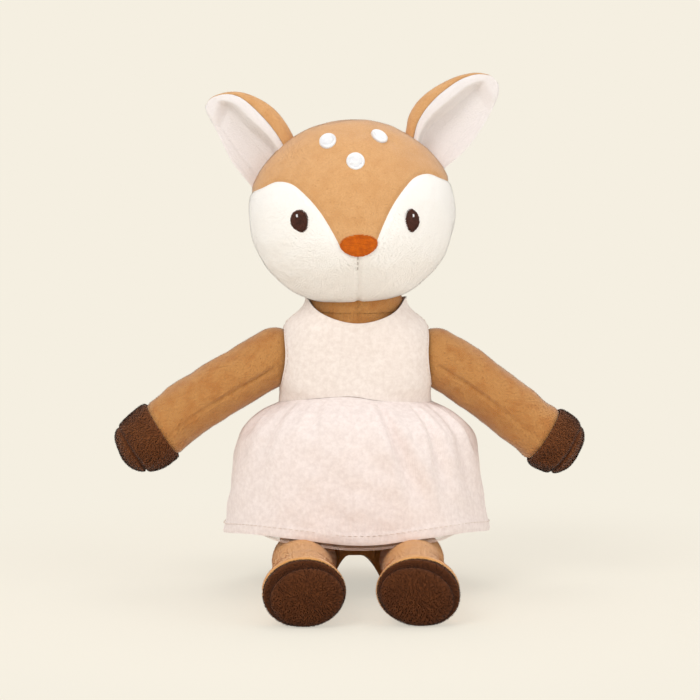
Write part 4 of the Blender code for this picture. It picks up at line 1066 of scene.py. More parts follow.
    def side_panel(self, sign: int, inner: Array, top: float, facing: int) -> Grid:
        """A panel of one side, from an inner line round to the seam behind the ears."""
        outer = self.chart_place(self.arc_way(np.linspace(top, self.arc_low, 160)), facing)
        around = np.linspace(-facing * pi / 2, self.side_turn, 120)
        end = self.chart_place(self.ring_way(around), facing)
        end[0] = inner[-1]
        flip = np.array((sign, 1))
        return self.patch(inner * flip, outer * flip, end * flip, facing, 4, self.columns)

    def cheek(self, sign: int) -> Grid:
        """One cheek: from the blaze's border and the line below the nose back to the ear seam."""
        inner = np.concatenate((self.border, self.middle[1:]))
        return self.side_panel(sign, inner, self.arc_top, -1)

    def back(self, sign: int) -> Grid:
        """One back half: from the line down the middle of the back round to the ear seam."""
        return self.side_panel(sign, self.back_line, pi / 2, 1)

    def forehead(self) -> Grid:
        """The blaze: between its two borders from the nose up, closed by the seam over the top."""
        right = self.border[::-1]
        turns = np.linspace(self.arc_top, pi - self.arc_top, 200)
        top = self.chart_place(self.arc_way(turns), -1)
        return self.patch(right, right * (-1, 1), top, -1, 2, self.forehead_columns)

    def on_face(self, places: Array) -> tuple[Array, Array]:
        """Points on the upright face, seen from the front at (across, up), and its directions."""
        points = self.surface(self.face_way(places[..., 0], places[..., 1]))
        return points, unit(points / self.size**2)

    def place_on_face(self, places: Array, height: Array | float) -> Array:
        """Points at a height over the tilted face, at places (across, up) on it."""
        points, out = self.on_face(places)
        return self.carry(points + out * np.broadcast_to(height, places.shape[:-1])[..., None])

    def face_out(self, places: Array) -> Array:
        """The directions that the tilted face looks in at places on it."""
        return self.turned(self.on_face(places)[1])

    def filling(self) -> None:
        """The head's stuffing: its form, smaller by the wall and a gap, with a hollow for the neck.

        Each point goes from the middle along its own direction. Below, where the direction meets
        the ball round the neck's pivot, it stops at the ball.
        """
        down = np.linspace(0, pi, 64)[:, None]
        turn = turns_round(96)[None]
        ways = np.stack((np.sin(down) * np.cos(turn), np.sin(down) * np.sin(turn),
                         np.cos(down) * np.ones_like(turn)), -1)
        reach = np.linalg.norm(self.surface(ways), axis=-1) - self.filling_inset
        ball = np.array(self.pivot) - np.array(self.centre)
        toward = ways @ ball
        inside = toward**2 - ball @ ball + self.neck_hollow**2
        stop = toward - np.sqrt(np.clip(inside, 0, None))
        reach = np.where((inside > 0) & (toward > 0), np.minimum(reach, stop), reach)
        points = self.carry(ways * reach[..., None])
        grid = Grid(points, True, True, True).facing(points - self.carry(np.zeros(3)))
        piece = Piece("head_filling")
        piece.add_skin(grid)
        dress_piece(piece.build("filling"), "head", "filling", "head_stuffing", fill=0.9)

    def panels(self) -> None:
        """Sews the five panels, each with its wall and its pile."""
        pile = Pile(2.2, HEAD_PILE, comb=(0.0, -0.1, -1.0), seed=3)
        plan = (
            ("forehead", self.forehead(), "plush_pale_caramel", "forehead_panel"),
            ("cheek_left", self.cheek(1), "plush_cream", "left_cheek_panel"),
            ("cheek_right", self.cheek(-1), "plush_cream", "right_cheek_panel"),
            ("head_back_half_left", self.back(1), "plush_pale_caramel", "head_back_left"),
            ("head_back_half_right", self.back(-1), "plush_pale_caramel", "head_back_right"),
        )
        for number, (name, grid, finish, node) in enumerate(plan):
            piece = Piece(name)
            window = piece.add_shell(grid, self.wall)
            piece.add_pile(grid, window, replace(pile, seed=pile.seed + number))
            dress_piece(piece.build(finish), "head", finish, node, fill=0.9)


@dataclass
class Face:
    """The embroidery: satin nose, eyes and spots on small pads, and the stitches under the nose."""

    head: Head
    pitch: float = 0.00042
    pad_sink: float = 0.0006
    pad_foot: float = 0.0010
    end_sink: float = 0.0003
    ragged: float = 0.00035
    rim_reach: float = 0.00075
    rim_height: float = 0.0011

    def satin(self, name: str, outline: Array, slot: str, node: str,
              dome: float, turn: float = 0.0, rim: str | None = None) -> None:
        """Fills an outline with satin threads that lie side by side over a domed pad.

        The pad is the outline shrunk towards its middle in rings, at a height of the dome times
        1 - r^4. Each thread is one chord of the outline, a thread's pitch from the next.

        Args:
            name: the piece's name.
            outline: the outline on the face, across and up.
            slot: the record's slot.
            node: the node that it replaces.
            dome: the pad's height.
            turn: the threads' turn from level.
            rim: the material of a rim sewn round the outline, where there is one.
        """
        head = self.head
        piece = Piece(name)
        middle = outline.mean(0)
        shrunk = 1 - np.linspace(0, 1, 7)[:, None]
        places = middle + (outline - middle) * shrunk[..., None]
        points = head.place_on_face(places, dome * (1 - shrunk**4) - self.pad_sink * shrunk**12)
        out = head.face_out(places)
        piece.add_skin(Grid(points, ring=True, pole_end=True).facing(out), 0.4)
        foot = head.place_on_face(places[:1], -self.pad_foot)
        under = np.concatenate((foot, np.repeat(foot.mean(1, keepdims=True), len(outline), 1)))
        piece.add_skin(Grid(under, ring=True, pole_end=True).facing(-out[:2]), 0.4)
        spin = np.array(((cos(turn), sin(turn)), (-sin(turn), cos(turn))))
        turned = (outline - middle) @ spin.T
        low, high = turned[:, 1].min(), turned[:, 1].max()
        paths, made = [], np.random.default_rng(int(abs(middle[0]) * 1e5) + 5)
        loop = np.concatenate((turned, turned[:1]))
        reach = np.linspace(-1, 1, 11)
        for level in np.arange(low + self.pitch / 2, high, self.pitch):
            over = loop[:, 1] - level
            cross = np.nonzero(over[:-1] * over[1:] < 0)[0]
            if len(cross) < 2:
                continue
            part = over[cross] / (over[cross] - over[cross + 1])
            ends = np.sort(loop[cross, 0] + part * (loop[cross + 1, 0] - loop[cross, 0]))
            grow = made.uniform(0.0, self.ragged, 2)
            ends = np.linspace(ends[0] - grow[0], ends[-1] + grow[1], len(reach))
            level = level + made.normal(0, 0.00003)
            line = np.stack((ends, np.full(len(reach), level)), -1) @ spin + middle
            side = 1 - min(1.0, abs((level - (low + high) / 2) / ((high - low) / 2))) ** 3
            lift = dome * (1 - np.abs(reach) ** 4) * (0.35 + 0.65 * side) + 0.00012
            lift[[0, -1]] = -self.end_sink
            paths.append(head.place_on_face(line, lift + made.uniform(0, 0.00006)))
        piece.add_threads(np.array(paths), self.pitch * 0.62, 0, 6, 0.8, head.face_out(middle))
        if rim is not None:
            self._rim(piece, outline)
        made_piece = piece.build(slot) if rim is None else piece.build(slot, rim)
        dress_piece(made_piece, "head", slot, node)

    def _rim(self, piece: Piece, outline: Array) -> None:
        """Sews short satin stitches across an outline, so that they form a raised rim round it."""
        loop = np.concatenate((outline, outline[:1]))
        along = lengths(loop)
        count = int(along[-1] / (self.pitch * 0.9))
        here = at_lengths(loop, along, np.linspace(0, along[-1], count, endpoint=False))
        out = unit(here - outline.mean(0))
        reach = np.linspace(-self.rim_reach, self.rim_reach, 6)
        lines = here[:, None] + out[:, None] * reach[None, :, None]
        lift = self.rim_height * (1 - (reach / self.rim_reach) ** 4) + 0.0002
        look = self.head.face_out(here)
        piece.add_threads(self.head.place_on_face(lines, lift), self.pitch * 0.6, 1, 5, 0.8,
                          look[:, None])

    def nose_outline(self) -> Array:
        """A flat lens with blunt ends, a little fuller below: powers of the sine and cosine."""
        angle = 2 * pi * (np.arange(48) + 0.5) / 48
        across = np.sign(np.cos(angle)) * np.abs(np.cos(angle)) ** 0.9
        up = np.sign(np.sin(angle)) * np.abs(np.sin(angle)) ** 0.95
        return np.stack((0.0092 * across + 0.0005,
                         0.0052 * up - 0.0149 - 0.0006 * (1 - across**2)), -1)

    def eye_outline(self, centre: tuple[float, float], half_width: float, half_height: float,
                    point_turn: float) -> Array:
        """An oval drawn out to a point in one direction by a sixth power of the cosine."""
        turn = turns_round(44)
        reach = 1.0 + 0.26 * np.maximum(0.0, np.cos(turn)) ** 6
        angle = turn + point_turn
        return np.stack((centre[0] + half_width * reach * np.cos(angle),
                         centre[1] + half_height * reach * np.sin(angle)), -1)

    def oval(self, centre: tuple[float, float], half_width: float, half_height: float,
             turn: float) -> Array:
        """A turned oval."""
        angle = turns_round(36)
        across, up = half_width * np.cos(angle), half_height * np.sin(angle)
        return np.stack((centre[0] + across * cos(turn) - up * sin(turn),
                         centre[1] + across * sin(turn) + up * cos(turn)), -1)

    def glint(self, name: str, centre: tuple[float, float]) -> None:
        """Sews the two short white stitches of the light in an eye."""
        piece = Piece(name)
        spot = np.array((centre[0] - 0.0002, centre[1] + 0.0021))
        lines = spot + np.array(((-0.0002, 0.0), (0.0002, 0.0)))[:, None] + np.stack(
            (np.zeros(6), np.linspace(-0.00075, 0.00075, 6)), -1)
        lift = 0.0016 + 0.0003 * np.sin(np.linspace(0, pi, 6))
        piece.add_threads(self.head.place_on_face(lines, lift), 0.0002, 0, 6)
        dress_piece(piece.build("thread_white"), "head", "thread_white")

    def muzzle(self) -> None:
        """Sews the row of small stitches that runs down from the nose."""
        piece = Piece("muzzle_stitches")
        line = smooth_path(((-0.0002, -0.0215), (-0.0003, -0.0250), (-0.0005, -0.0305)), 200)
        here = running_stitches(line, 0.0, 0.0017, 0.0009, 7)
        lift = (-0.0009, -0.0006, -0.0003, -0.0002, -0.0003, -0.0006, -0.0009)
        piece.add_threads(self.head.place_on_face(here, lift), 0.00016, 0, 6, 1.0,
                          self.head.face_out(here[:, 3])[:, None])
        dress_piece(piece.build("thread_grey"), "head", "thread_brown", "muzzle_stitch")

    def sew(self) -> None:
        """Sews the whole face."""
        self.satin("nose_satin", self.nose_outline(), "thread_orange", "nose", 0.0013)
        for side, centre, wide, tall, point in (
            (Side.LEFT, (0.0275, -0.0047), 0.0034, 0.0053, radians(-112)),
            (Side.RIGHT, (-0.0276, -0.0018), 0.0042, 0.0054, radians(-62)),
        ):
            outline = self.eye_outline(centre, wide, tall, point)
            self.satin(f"eye_satin_{side.word}", outline, "thread_brown", f"{side.word}_eye",
                       0.0011, radians(70) * side.value)
            self.glint(f"eye_glint_{side.word}", centre)
        for name, node, centre, wide, tall, turn in (
            ("spot_left", "left_forehead_spot", (0.0144, 0.0362), 0.0036, 0.0020, radians(-30)),
            ("spot_right", "right_forehead_spot", (-0.0110, 0.0352), 0.0036, 0.0027, radians(22)),
            ("spot_middle", "middle_forehead_spot", (0.0014, 0.0248), 0.0038, 0.0034, 0.0),
        ):
            self.satin(name, self.oval(centre, wide, tall, turn), "thread_white", node,
                       0.0013, turn, "thread_white")
        self.muzzle()


# ---------------------------------------------------------------- stage


@dataclass
class Stage:
    """The plain pale floor and backdrop, the soft lamps and the camera of the photograph."""

    colour: Colour = linear(245, 239, 225)
    camera_place: Place = (-0.05886, -1.2832, 0.2335)
    camera_ahead: Place = (0.04345, 0.99524, -0.08716)
    lens: float = 130.0
    floor_half: float = 3.0
    floor_level: float = -0.0002
    near: float = 0.17
    far: float = 0.34

    def floor(self) -> None:
        """A wide floor: matt near the toy, where its shadow lies, and plain further off."""
        across = np.linspace(-1, 1, 41)
        places = np.sign(across) * np.abs(across) ** 2 * self.floor_half
        x, y = np.meshgrid(places, places)
        piece = Piece("floor")
        piece.add_skin(Grid(np.stack((x, y, np.full_like(x, self.floor_level)), -1)).facing(UP))
        nodes = Nodes("floor_paper")
        red, green, blue, _ = self.colour
        paper = nodes.mix(nodes.noise(30.0), (red * 0.92, green * 0.92, blue * 0.93, 1.0),
                          (red * 0.91, green * 0.91, blue * 0.92, 1.0))
        paper = nodes.finish(paper, 0.95, specular=0.0)
        away = nodes.add("VectorMath", {0: nodes.place}, operation="LENGTH").outputs["Value"]
        fade = nodes.spread(away, self.near, self.far, 0.62, 1.0, "SMOOTHSTEP")
        plain = nodes.add("Emission", {"Color": self.colour, "Strength": 1.0})
        shown = nodes.join(nodes.times(fade, nodes.seen()), nodes.shader.outputs["BSDF"],
                           plain.outputs["Emission"])
        nodes.put(nodes.tree.nodes["Material Output"].inputs["Surface"], shown)
        floor = piece.build()
        floor.data.materials.append(paper)

    def world(self) -> None:
        """The background's colour to the camera, and a soft even light to the rest."""
        world = bpy.data.worlds.new("plain_world")
        bpy.context.scene.world = world
        nodes = Tree(world)
        nodes.tree.nodes.clear()
        seen = nodes.add("Background", {"Color": self.colour})
        lit = nodes.add("Background", {"Color": (1.0, 0.985, 0.965, 1.0), "Strength": 0.70})
        shown = nodes.join(nodes.seen(), lit.outputs["Background"], seen.outputs["Background"])
        nodes.add("OutputWorld", {"Surface": shown})

    def lamps(self) -> None:
        """Soft lamps: a large one in front at the picture's left, one at its right, one above."""
        for name, place, size, power in (
            ("key_lamp", (-0.75, -1.05, 1.15), 0.9, 10.5),
            ("fill_lamp", (1.15, -0.75, 0.55), 1.1, 5.0),
            ("top_lamp", (0.1, 0.5, 1.5), 1.0, 4.0),
        ):
            light = bpy.data.lights.new(name, "AREA")
            light.shape = "DISK"
            light.size = size
            light.energy = power
            light.color = (1.0, 0.985, 0.96)
            lamp = put_in_scene(name, light)
            lamp.location = place
            way = Vector((0.0, 0.0, 0.1)) - Vector(place)
            lamp.rotation_euler = way.to_track_quat("-Z", "Y").to_euler()

    def camera(self) -> None:
        """The camera of the photograph: 130 mm lens, 5 degrees down, 2.5 degrees to its right."""
        data = bpy.data.cameras.new("photo_camera")
        data.lens = self.lens
        data.sensor_width = 36.0
        data.sensor_fit = "HORIZONTAL"
        data.clip_start = 0.05
        data.clip_end = 20.0
        made = put_in_scene("photo_camera", data)
        ahead = Vector(self.camera_ahead).normalized()
        right = ahead.cross(Vector(UP)).normalized()
        above = right.cross(ahead)
        turn = Matrix((right, above, -ahead)).transposed().to_4x4()
        made.matrix_world = Matrix.Translation(self.camera_place) @ turn
        bpy.context.scene.camera = made
        bpy.context.scene.view_settings.view_transform = "Standard"

    def set_up(self) -> None:
        """Puts everything in place."""
        self.camera()
        self.world()
        self.lamps()
        self.floor()


# ---------------------------------------------------------------- limbs


@dataclass
class Limb:
    """One limb: a plush tube with a round root, a seam along it and a hoof sewn on its end."""

    side: Side
    kind: str
    joint_place: Place
    way: Place
    above: Place
    length: float
    root_radius: float
    cover: tuple
    bend: tuple
    hoof_size: tuple[float, float]
    border: float
    dome_start: float
    blunt: float
    groove: float
    groove_turn: float
    sole_shift: tuple[float, float]
    sole_lean: float
    finish: str
    seam_turn: float
    on_floor: bool = False
    around: int = 104
    wall: float = 0.0012
    wad_gap: float = 0.0005
    floor_gap: float = 0.0003
    seam_depth: float = 0.0013
    seam_half_width: float = 0.0008
    pucker_pitch: float = 0.0042
    pucker_depth: float = 0.00016
    pucker_half_width: float = 0.0020
    end_depth: float = 0.0008
    end_half_width: float = 0.0015
    hoof_seam_depth: float = 0.0017
    hoof_seam_half_width: float = 0.0008
    hoof_edge_depth: float = 0.0007
    hoof_edge_half_width: float = 0.0013
    sole_edge: float = 0.0006
    sole_step: float = 0.0010
    lump_height: float = 0.00042
    dimple_height: float = 0.00012
    filling_inset: float = 0.0006

    def frame_axes(self) -> tuple[Array, Array, Array]:
        """The ways along, beside and above the limb, each at a right angle to the others."""
        along = unit(np.array(self.way))
        beside = unit(np.cross(np.array(self.above), along))
        return along, beside, np.cross(along, beside)

    def put(self, along: Array, beside: Array, above: Array) -> Array:
        """Points for places in the limb's own axes, on its bent middle line."""
        a, b, c = self.frame_axes()
        off = smooth_table(self.bend, along / self.length) * MM
        return (along[..., None] * a + (beside + off[..., 0])[..., None] * b
                + (above + off[..., 1])[..., None] * c + np.array(self.joint_place))

    def half_sizes(self, along: Array) -> Array:
        """Half sizes beside and above the middle line at distances from the joint.

        Half a ball behind the joint, the cover's table up to the hoof, and then the hoof's size
        times (1 - t^blunt)^(1/blunt) over the way t from the dome's start to the tip.
        """
        root = circle(np.minimum(along, 0) / self.root_radius)
        tube = smooth_table(self.cover, along / self.length) * self.root_radius
        start = self.dome_start * self.length
        left = np.clip((along - start) / (self.length - start), 0, 1)
        dome = (1 - left**self.blunt) ** (1 / self.blunt)
        hoof = np.array(self.hoof_size) * dome[..., None]
        on_tube = (along < self.border * self.length)[..., None]
        return np.where(on_tube, tube * root[..., None], hoof)

    def tube(self, along: Array, sizes: Array, drawn: Array, lean: float = 0.0,
             shift: Array | None = None) -> Array:
        """Rings of points along the limb, from half sizes less how far each point is drawn in.

        Args:
            along: each ring's distance from the joint.
            sizes: each ring's half sizes.
            drawn: how far each point is drawn in.
            lean: how much each ring leans sideways as it goes down.
            shift: each ring's shift beside and above the middle line.

        Returns:
            The points, rings by turns by 3.
        """
        turn = turns_round(self.around)
        beside = np.maximum(sizes[:, :1] - drawn, 0) * np.cos(turn)
        above = np.maximum(sizes[:, 1:] - drawn, 0) * np.sin(turn)
        leaned = smooth_step(along, self.border * self.length, self.groove * self.length)
        beside = beside - lean * leaned[:, None] * above
        if shift is not None:
            beside, above = beside + shift[:, :1], above + shift[:, 1:]
        return self.put(np.broadcast_to(along[:, None], beside.shape), beside, above)

    def stuffed(self, points: Array, along: Array, still: Array, pole_start: bool,
                pole_end: bool) -> Grid:
        """The surface made uneven by two fields of soft bumps, and flat on the floor."""
        centre = self.put(np.broadcast_to(along[:, None], points.shape[:2]), 0.0, 0.0)
        grid = Grid(points, True, pole_start, pole_end).facing(points - centre)
        points, out = grid.points, grid.normals()
        seed = self.side.value + len(self.kind) + 3 * pole_end
        much = 0.2 if self.on_floor else 1.0
        bumps = (self.lump_height * Ripple(0.017, 40 + seed).at(points)
                 + self.dimple_height * Ripple(0.007, 50 + seed).at(points)) * much
        points = points + out * (bumps * still[:, None])[..., None]
        if self.on_floor:
            points[..., 2] = np.maximum(points[..., 2], self.floor_gap)
        return Grid(points, True, pole_start, pole_end)

    def cover_grid(self) -> Grid:
        """The tube, with its long seam drawn in as a groove that fades out towards the hoof."""
        end = self.border * self.length
        root = -self.root_radius * np.cos(np.linspace(0, pi / 2, 18))
        along = np.r_[root, np.linspace(0, end, 96)[1:]]
        along[-1] -= 1e-7
        off_seam = (turns_round(self.around) - self.seam_turn + pi) % (2 * pi) - pi
        off_seam = np.abs(off_seam) * self.root_radius
        strong = 1 - 0.75 * smooth_step(along, 0.4 * end, 0.9 * end)
        strong = smooth_step(along, 0.001, 0.006) * strong
        pucker = 0.5 + 0.5 * np.cos(2 * pi * along / self.pucker_pitch)
        drawn = (self.seam_depth * bell(off_seam, self.seam_half_width)[None]
                 + self.pucker_depth * bell(off_seam, self.pucker_half_width)[None]
                 * pucker[:, None]) * strong[:, None]
        drawn = drawn + self.end_depth * bell(end - along, self.end_half_width)[:, None]
        points = self.tube(along, self.half_sizes(along), drawn)
        still = smooth_step(along, -0.004, 0.012) * smooth_step(end - along, 0.0, 0.006)
        return self.stuffed(points, along, still, True, False)

    def hoof_grid(self) -> Grid:
        """The hoof: a band and a domed end that meet in a groove sewn right round it.

        The groove is deepest on one side. Past it the end is shifted and a little smaller, so
        that on that side some of the band shows beside it.
        """
        start, dome, last = self.border * self.length, self.dome_start * self.length, self.length
        angle = np.linspace(0, pi / 2, 54)
        along = np.r_[np.linspace(start, dome, 12)[:-1],
                      dome + (last - dome) * np.sin(angle) ** (2 / self.blunt)]
        sizes = self.half_sizes(along)
        sizes[-1] = 0.0
        place = self.groove * self.length
        deep = 0.6 + 0.4 * np.cos(turns_round(self.around) - self.groove_turn)
        drawn = (self.hoof_seam_depth * bell(along - place, self.hoof_seam_half_width)[:, None]
                 * deep
                 + self.hoof_edge_depth * bell(along - start, self.hoof_edge_half_width)[:, None])
        past = smooth_step(along, place - self.sole_edge, place + self.sole_edge)
        past = past * (1 - smooth_step(along, place, last))
        moved = smooth_step(along, place - self.sole_step, place + self.sole_step)
        shift = moved[:, None] * self.sole_shift
        drawn = drawn + past[:, None] * np.linalg.norm(self.sole_shift) * 0.6
        points = self.tube(along, sizes, np.minimum(drawn, sizes.min(1, keepdims=True) * 0.5),
                           self.sole_lean, shift)
        return self.stuffed(points, along, smooth_step(along, start, start + 0.004), False, True)

    def filling_grid(self) -> Grid:
        """The stuffing: the whole limb's form, smaller all round by the wall and a small gap."""
        inset = self.wall + self.wad_gap
        angle = np.linspace(0, pi, 70)
        low, high = -self.root_radius + inset, self.groove * self.length - inset
        along = (low + high) / 2 - (high - low) / 2 * np.cos(angle)
        sizes = np.maximum(self.half_sizes(along) - inset - self.filling_inset, 0.0)
        near = circle(1 - np.minimum(along - low, 0.004) / 0.004)
        sizes = sizes * near[:, None]
        sizes[[0, -1]] = 0.0
        points = self.tube(along, sizes, np.zeros((70, 1)))
        grid = self.stuffed(points, along, np.zeros(70), True, True)
        if self.on_floor:
            grid.points[..., 2] = np.maximum(grid.points[..., 2], self.floor_gap + inset)
        return grid

    def hoof_shade(self, grid: Grid) -> tuple[Array, Array]:
        """How far up the pile each point's colour is, and how much of the pile stands there.

        Both fall along the seam round the hoof: the pile stands shorter there, and its colour is
        darkened there as painted shade in the groove. Past the seam an arm's hoof is a little
        paler.
        """
        reach = (grid.points - np.array(self.joint_place)) @ self.frame_axes()[0]
        place = self.groove * self.length
        near = bell(reach - place, 0.0007)
        stands = 1 - (0.3 if self.on_floor else 0.7) * near
        # painted shade: the pile's colour is darkened along the groove round the hoof
        tip = 0.5 - 0.6 * near
        if not self.on_floor:
            tip = tip + 0.3 * smooth_step(reach, place + 0.0008, place + 0.003)
        return tip.ravel(), stands

    def sew(self) -> None:
        """Sews the cover and the hoof over the stuffing."""
        word = self.side.word
        body = f"{word}_{self.kind}"
        comb = tuple(self.frame_axes()[0] * 0.8 + np.array((0.0, 0.0, -0.3)))
        least = self.floor_gap if self.on_floor else None
        hoof = "plush_sole" if self.on_floor else "plush_hoof"
        for part, grid, finish, slot, number, pile in (
            ("cover", self.cover_grid(), self.finish, "plush_caramel", 1, (2.0, LIMB_PILE)),
            ("hoof", self.hoof_grid(), hoof, "plush_hoof", 2, HOOF_PILE),
        ):
            piece = Piece(f"{self.kind}_{part}_{word}")
            tip, stands = self.hoof_shade(grid) if part == "hoof" else (0.5, None)
            window = piece.add_shell(grid, self.wall, tip)
            piece.add_pile(grid, window, Pile(*pile, comb=comb, seed=11 + self.side.value + number),
                           stands, least)
            dress_piece(piece.build(finish), body, slot, f"{body}_{part}", fill=0.8)
        piece = Piece(f"{self.kind}_filling_{word}")
        piece.add_skin(self.filling_grid())
        dress_piece(piece.build("filling"), body, "filling", f"{body}_stuffing", fill=0.8)


def arm(side: Side) -> Limb:
    """An arm: held out to the side and 32.5 degrees down, each with its own slight bend."""
    drop = radians(32.5)
    length, border, dome, groove = 0.0940, 0.737, 0.79, 0.925
    if side is Side.RIGHT:
        bend = ((0.0, 0.0, 1.9), (0.1, 0.0, 2.1), (0.25, 0.0, 2.6), (0.42, 0.0, 3.2),
                (0.56, 0.0, 3.1), (0.66, 0.0, 2.3), (0.74, 0.0, 1.1), (1.0, 0.0, 0.8))
        seam = radians(-16)
        groove_turn = radians(-70)
    else:
        bend = ((0.0, 0.0, 1.2), (0.1, 0.0, 1.4), (0.3, 0.0, 0.8), (0.48, 0.0, -0.4),
                (0.60, 0.0, -1.7), (0.74, 0.0, -2.9), (1.0, 0.0, -3.1))
        seam = radians(192)
        groove_turn = radians(250)
        length, border, dome, groove = 0.0895, 0.775, 0.83, 0.925
    return Limb(
        side, "arm", (side.value * 0.0395, -0.0020, 0.1172),
        (side.value * cos(drop), 0.0, -sin(drop)), (side.value * sin(drop), 0.0, cos(drop)),
        length, 0.0134,
        ((0.0, 1.0, 1.07), (0.1, 1.01, 1.08), (0.24, 1.01, 1.06), (0.42, 1.03, 1.07),
         (0.58, 1.05, 1.08), (0.67, 1.06, 1.07), (border, 1.10, 1.12)),
        bend, (0.0158, 0.0162), border, dome, 2.35, groove, groove_turn, (0.0, 0.0), 0.0,
        "plush_caramel", seam)


def leg(side: Side) -> Limb:
    """A leg: straight ahead on the ground, wider at its hoof, whose sole looks a little inward."""
    sign = side.value
    bend = ((0.0, 0.0, 0.0), (0.3, -1.1, -0.3), (0.6, -1.6, -0.9), (0.85, -2.1, -1.4),
            (1.0, -2.1, -1.4))
    return Limb(
        side, "leg", (sign * 0.0270, -0.0280, 0.0170), (0.0, -1.0, 0.0), (0.0, 0.0, 1.0),
        0.0880, 0.0162,
        ((0.0, 1.0, 1.0), (0.2, 0.94, 0.945), (0.38, 0.905, 0.925), (0.55, 0.94, 0.94),
         (0.70, 1.07, 0.975), (0.80, 1.20, 1.0), (0.87, 1.25, 1.0)),
        bend, (0.0193, 0.0158), 0.870, 0.905, 2.5, 0.935, radians(125) if sign < 0 else radians(55),
        (-0.0011 * sign, -0.0013), 0.18 if sign > 0 else -0.08, "plush_legs",
        radians(180.0) if sign < 0 else 0.0, True)


# ---------------------------------------------------------------- ears


@dataclass
class Ear:
    """One ear: a caramel back that rolls forward on the head's side, and a cream lining."""

    side: Side
    inner: tuple
    outer: tuple
    band: Place
    rows: int = 84
    columns: int = 72
    wall: float = 0.0009

    BACK_ROOT = ((1.0, -0.3), (0.84, 2.6), (0.55, 4.9), (0.28, 5.0), (0.07, 3.0), (0.0, -0.4),
                 (0.25, -3.8), (0.75, -5.3), (1.0, -5.4))
    BACK_TIP = ((1.0, -0.1), (0.84, 1.3), (0.55, 2.2), (0.28, 2.2), (0.08, 1.5), (0.0, 0.3),
                (0.25, -0.5), (0.75, -1.2), (1.0, -1.3))

    def lines(self) -> tuple[Array, Array]:
        """The head-side and outer edges from under the head's surface to the tip, in X and Z."""
        found = []
        for edge in (self.inner, self.outer):
            points = np.array(edge) * MM
            start = points[0] - unit(points[1] - points[0]) * 0.0035
            found.append(smooth_path(np.concatenate((start[None], points)), self.rows))
        return found[0], found[1]

    def surface(self, shares: Array, depths: Array) -> Array:
        """Points for shares of the way from the head-side edge to the outer edge, and depths."""
        inner, outer = self.lines()
        flat = mixed(inner[:, None], outer[:, None], shares[..., None])
        return np.stack((flat[..., 0], depths, flat[..., 1]), -1)

    def back_grid(self) -> Grid:
        """The back: one section that goes from the outer edge round behind to the rolled rim.

        The section is a smooth path through (share, depth) pairs; it changes evenly from a deep
        roll at the root to a shallow one at the tip, and the roll's width follows the band that
        shows along the head-side edge.
        """
        up = np.linspace(0, 1, self.rows)
        root, tip = (smooth_path(np.array(table) * (30, 1), self.columns) / (30, 1)
                     for table in (self.BACK_ROOT, self.BACK_TIP))
        part = smooth_step(up, 0.25, 1.0)[:, None]
        shares = mixed(root[None, :, 0], tip[None, :, 0], part)
        depths = mixed(root[None, :, 1], tip[None, :, 1], part) * MM
        rolled = np.arange(self.columns) > np.argmin(root[:, 0])
        shares = np.where(rolled[None], shares * self.band_width(up)[:, None], shares)
        depths = depths * (1 - up[:, None] ** 6)
        points = self.surface(shares, depths)
        middle = points[:, : self.columns // 2].reshape(-1, 3).mean(0) + (0, -0.02, 0)
        return Grid(points, pole_end=True).facing(points - middle)

    def band_width(self, up: Array) -> Array:
        """The share of the ear's width that the rolled edge covers, by the way up the ear."""
        root, middle, end = self.band
        table = ((0.0, root), (0.45, middle), (0.8, end), (1.0, 0.02))
        return smooth_table(table, up)[:, 0]

    def lining_grid(self) -> Grid:
        """The lining: a hollow, a thick round rim along the rolled edge and over the tip."""
        up = np.linspace(0, 1, self.rows)
        width = self.band_width(up)[:, None]
        across = np.linspace(0, 1, self.columns)[None]
        rim = (0.17 + 0.10 * smooth_step(up, 0.1, 0.6))[:, None]
        shares = 1 - (1 - width) * across**0.9
        shares = np.minimum(shares, 1.0) * 1.02
        part = smooth_step(up, 0.25, 1.0)[:, None]
        depth = [np.interp(shares, *np.array(table[5::-1]).T)
                 for table in (self.BACK_ROOT, self.BACK_TIP)]
        hollow = mixed(*depth, part) * (1 - up[:, None] ** 6)
        hollow = hollow - 0.95 - 0.4 * smooth_step(1 - shares, 0.0, 0.14)
        left = (shares - width) / rim
        raised = circle(2 * np.clip(left, 0, 1) - 1)
        blend = smooth_step(left, 0.6, 1.3)
        rim_depth = -5.2 * (1 - 0.72 * smooth_step(up, 0.3, 1.0))[:, None] - 1.6 * raised
        depths = mixed(rim_depth, hollow, blend)
        over = smooth_step(up, 0.70, 0.86)[:, None]
        near = np.clip((1.02 - shares) / 0.3, 0, 1)
        depths = depths * (1 - over) - over * (1.1 + 1.3 * circle(1 - near))
        edge = np.minimum((1 - up)[:, None] / 0.05, 1)
        depths = depths * circle(1 - edge) - 0.1
        points = self.surface(np.maximum(shares, 0), depths * MM)
        return Grid(points, pole_end=True).facing(FORWARD)

    def sew(self) -> None:
        """Sews the back and the lining on the head."""
        word = self.side.word
        root, tip = (np.array((self.inner[end], self.outer[end])).mean(0) * MM for end in (0, -1))
        way = unit(tip - root)
        start, end, comb = ((x, 0.0, z) for x, z in (root - way * 0.001, root + way * 0.008, way))
        for part, grid, finish, slot in (
            ("back", self.back_grid(), "plush_pale_caramel", "plush_caramel"),
            # the lining takes the darker copy of the cream plush, painted shade of the ear's hollow
            ("lining", self.lining_grid(), "plush_lining", "plush_cream"),
        ):
            piece = Piece(f"ear_{part}_piece_{word}")
            window = piece.add_shell(grid, self.wall)
            piece.add_pile(grid, window, Pile(2.2, HEAD_PILE, comb=comb, seed=21))
            bend_piece(piece.build(finish), ("head", f"{word}_ear"),
                       f"{word}_ear_{part}")


# ---------------------------------------------------------------- body and neck


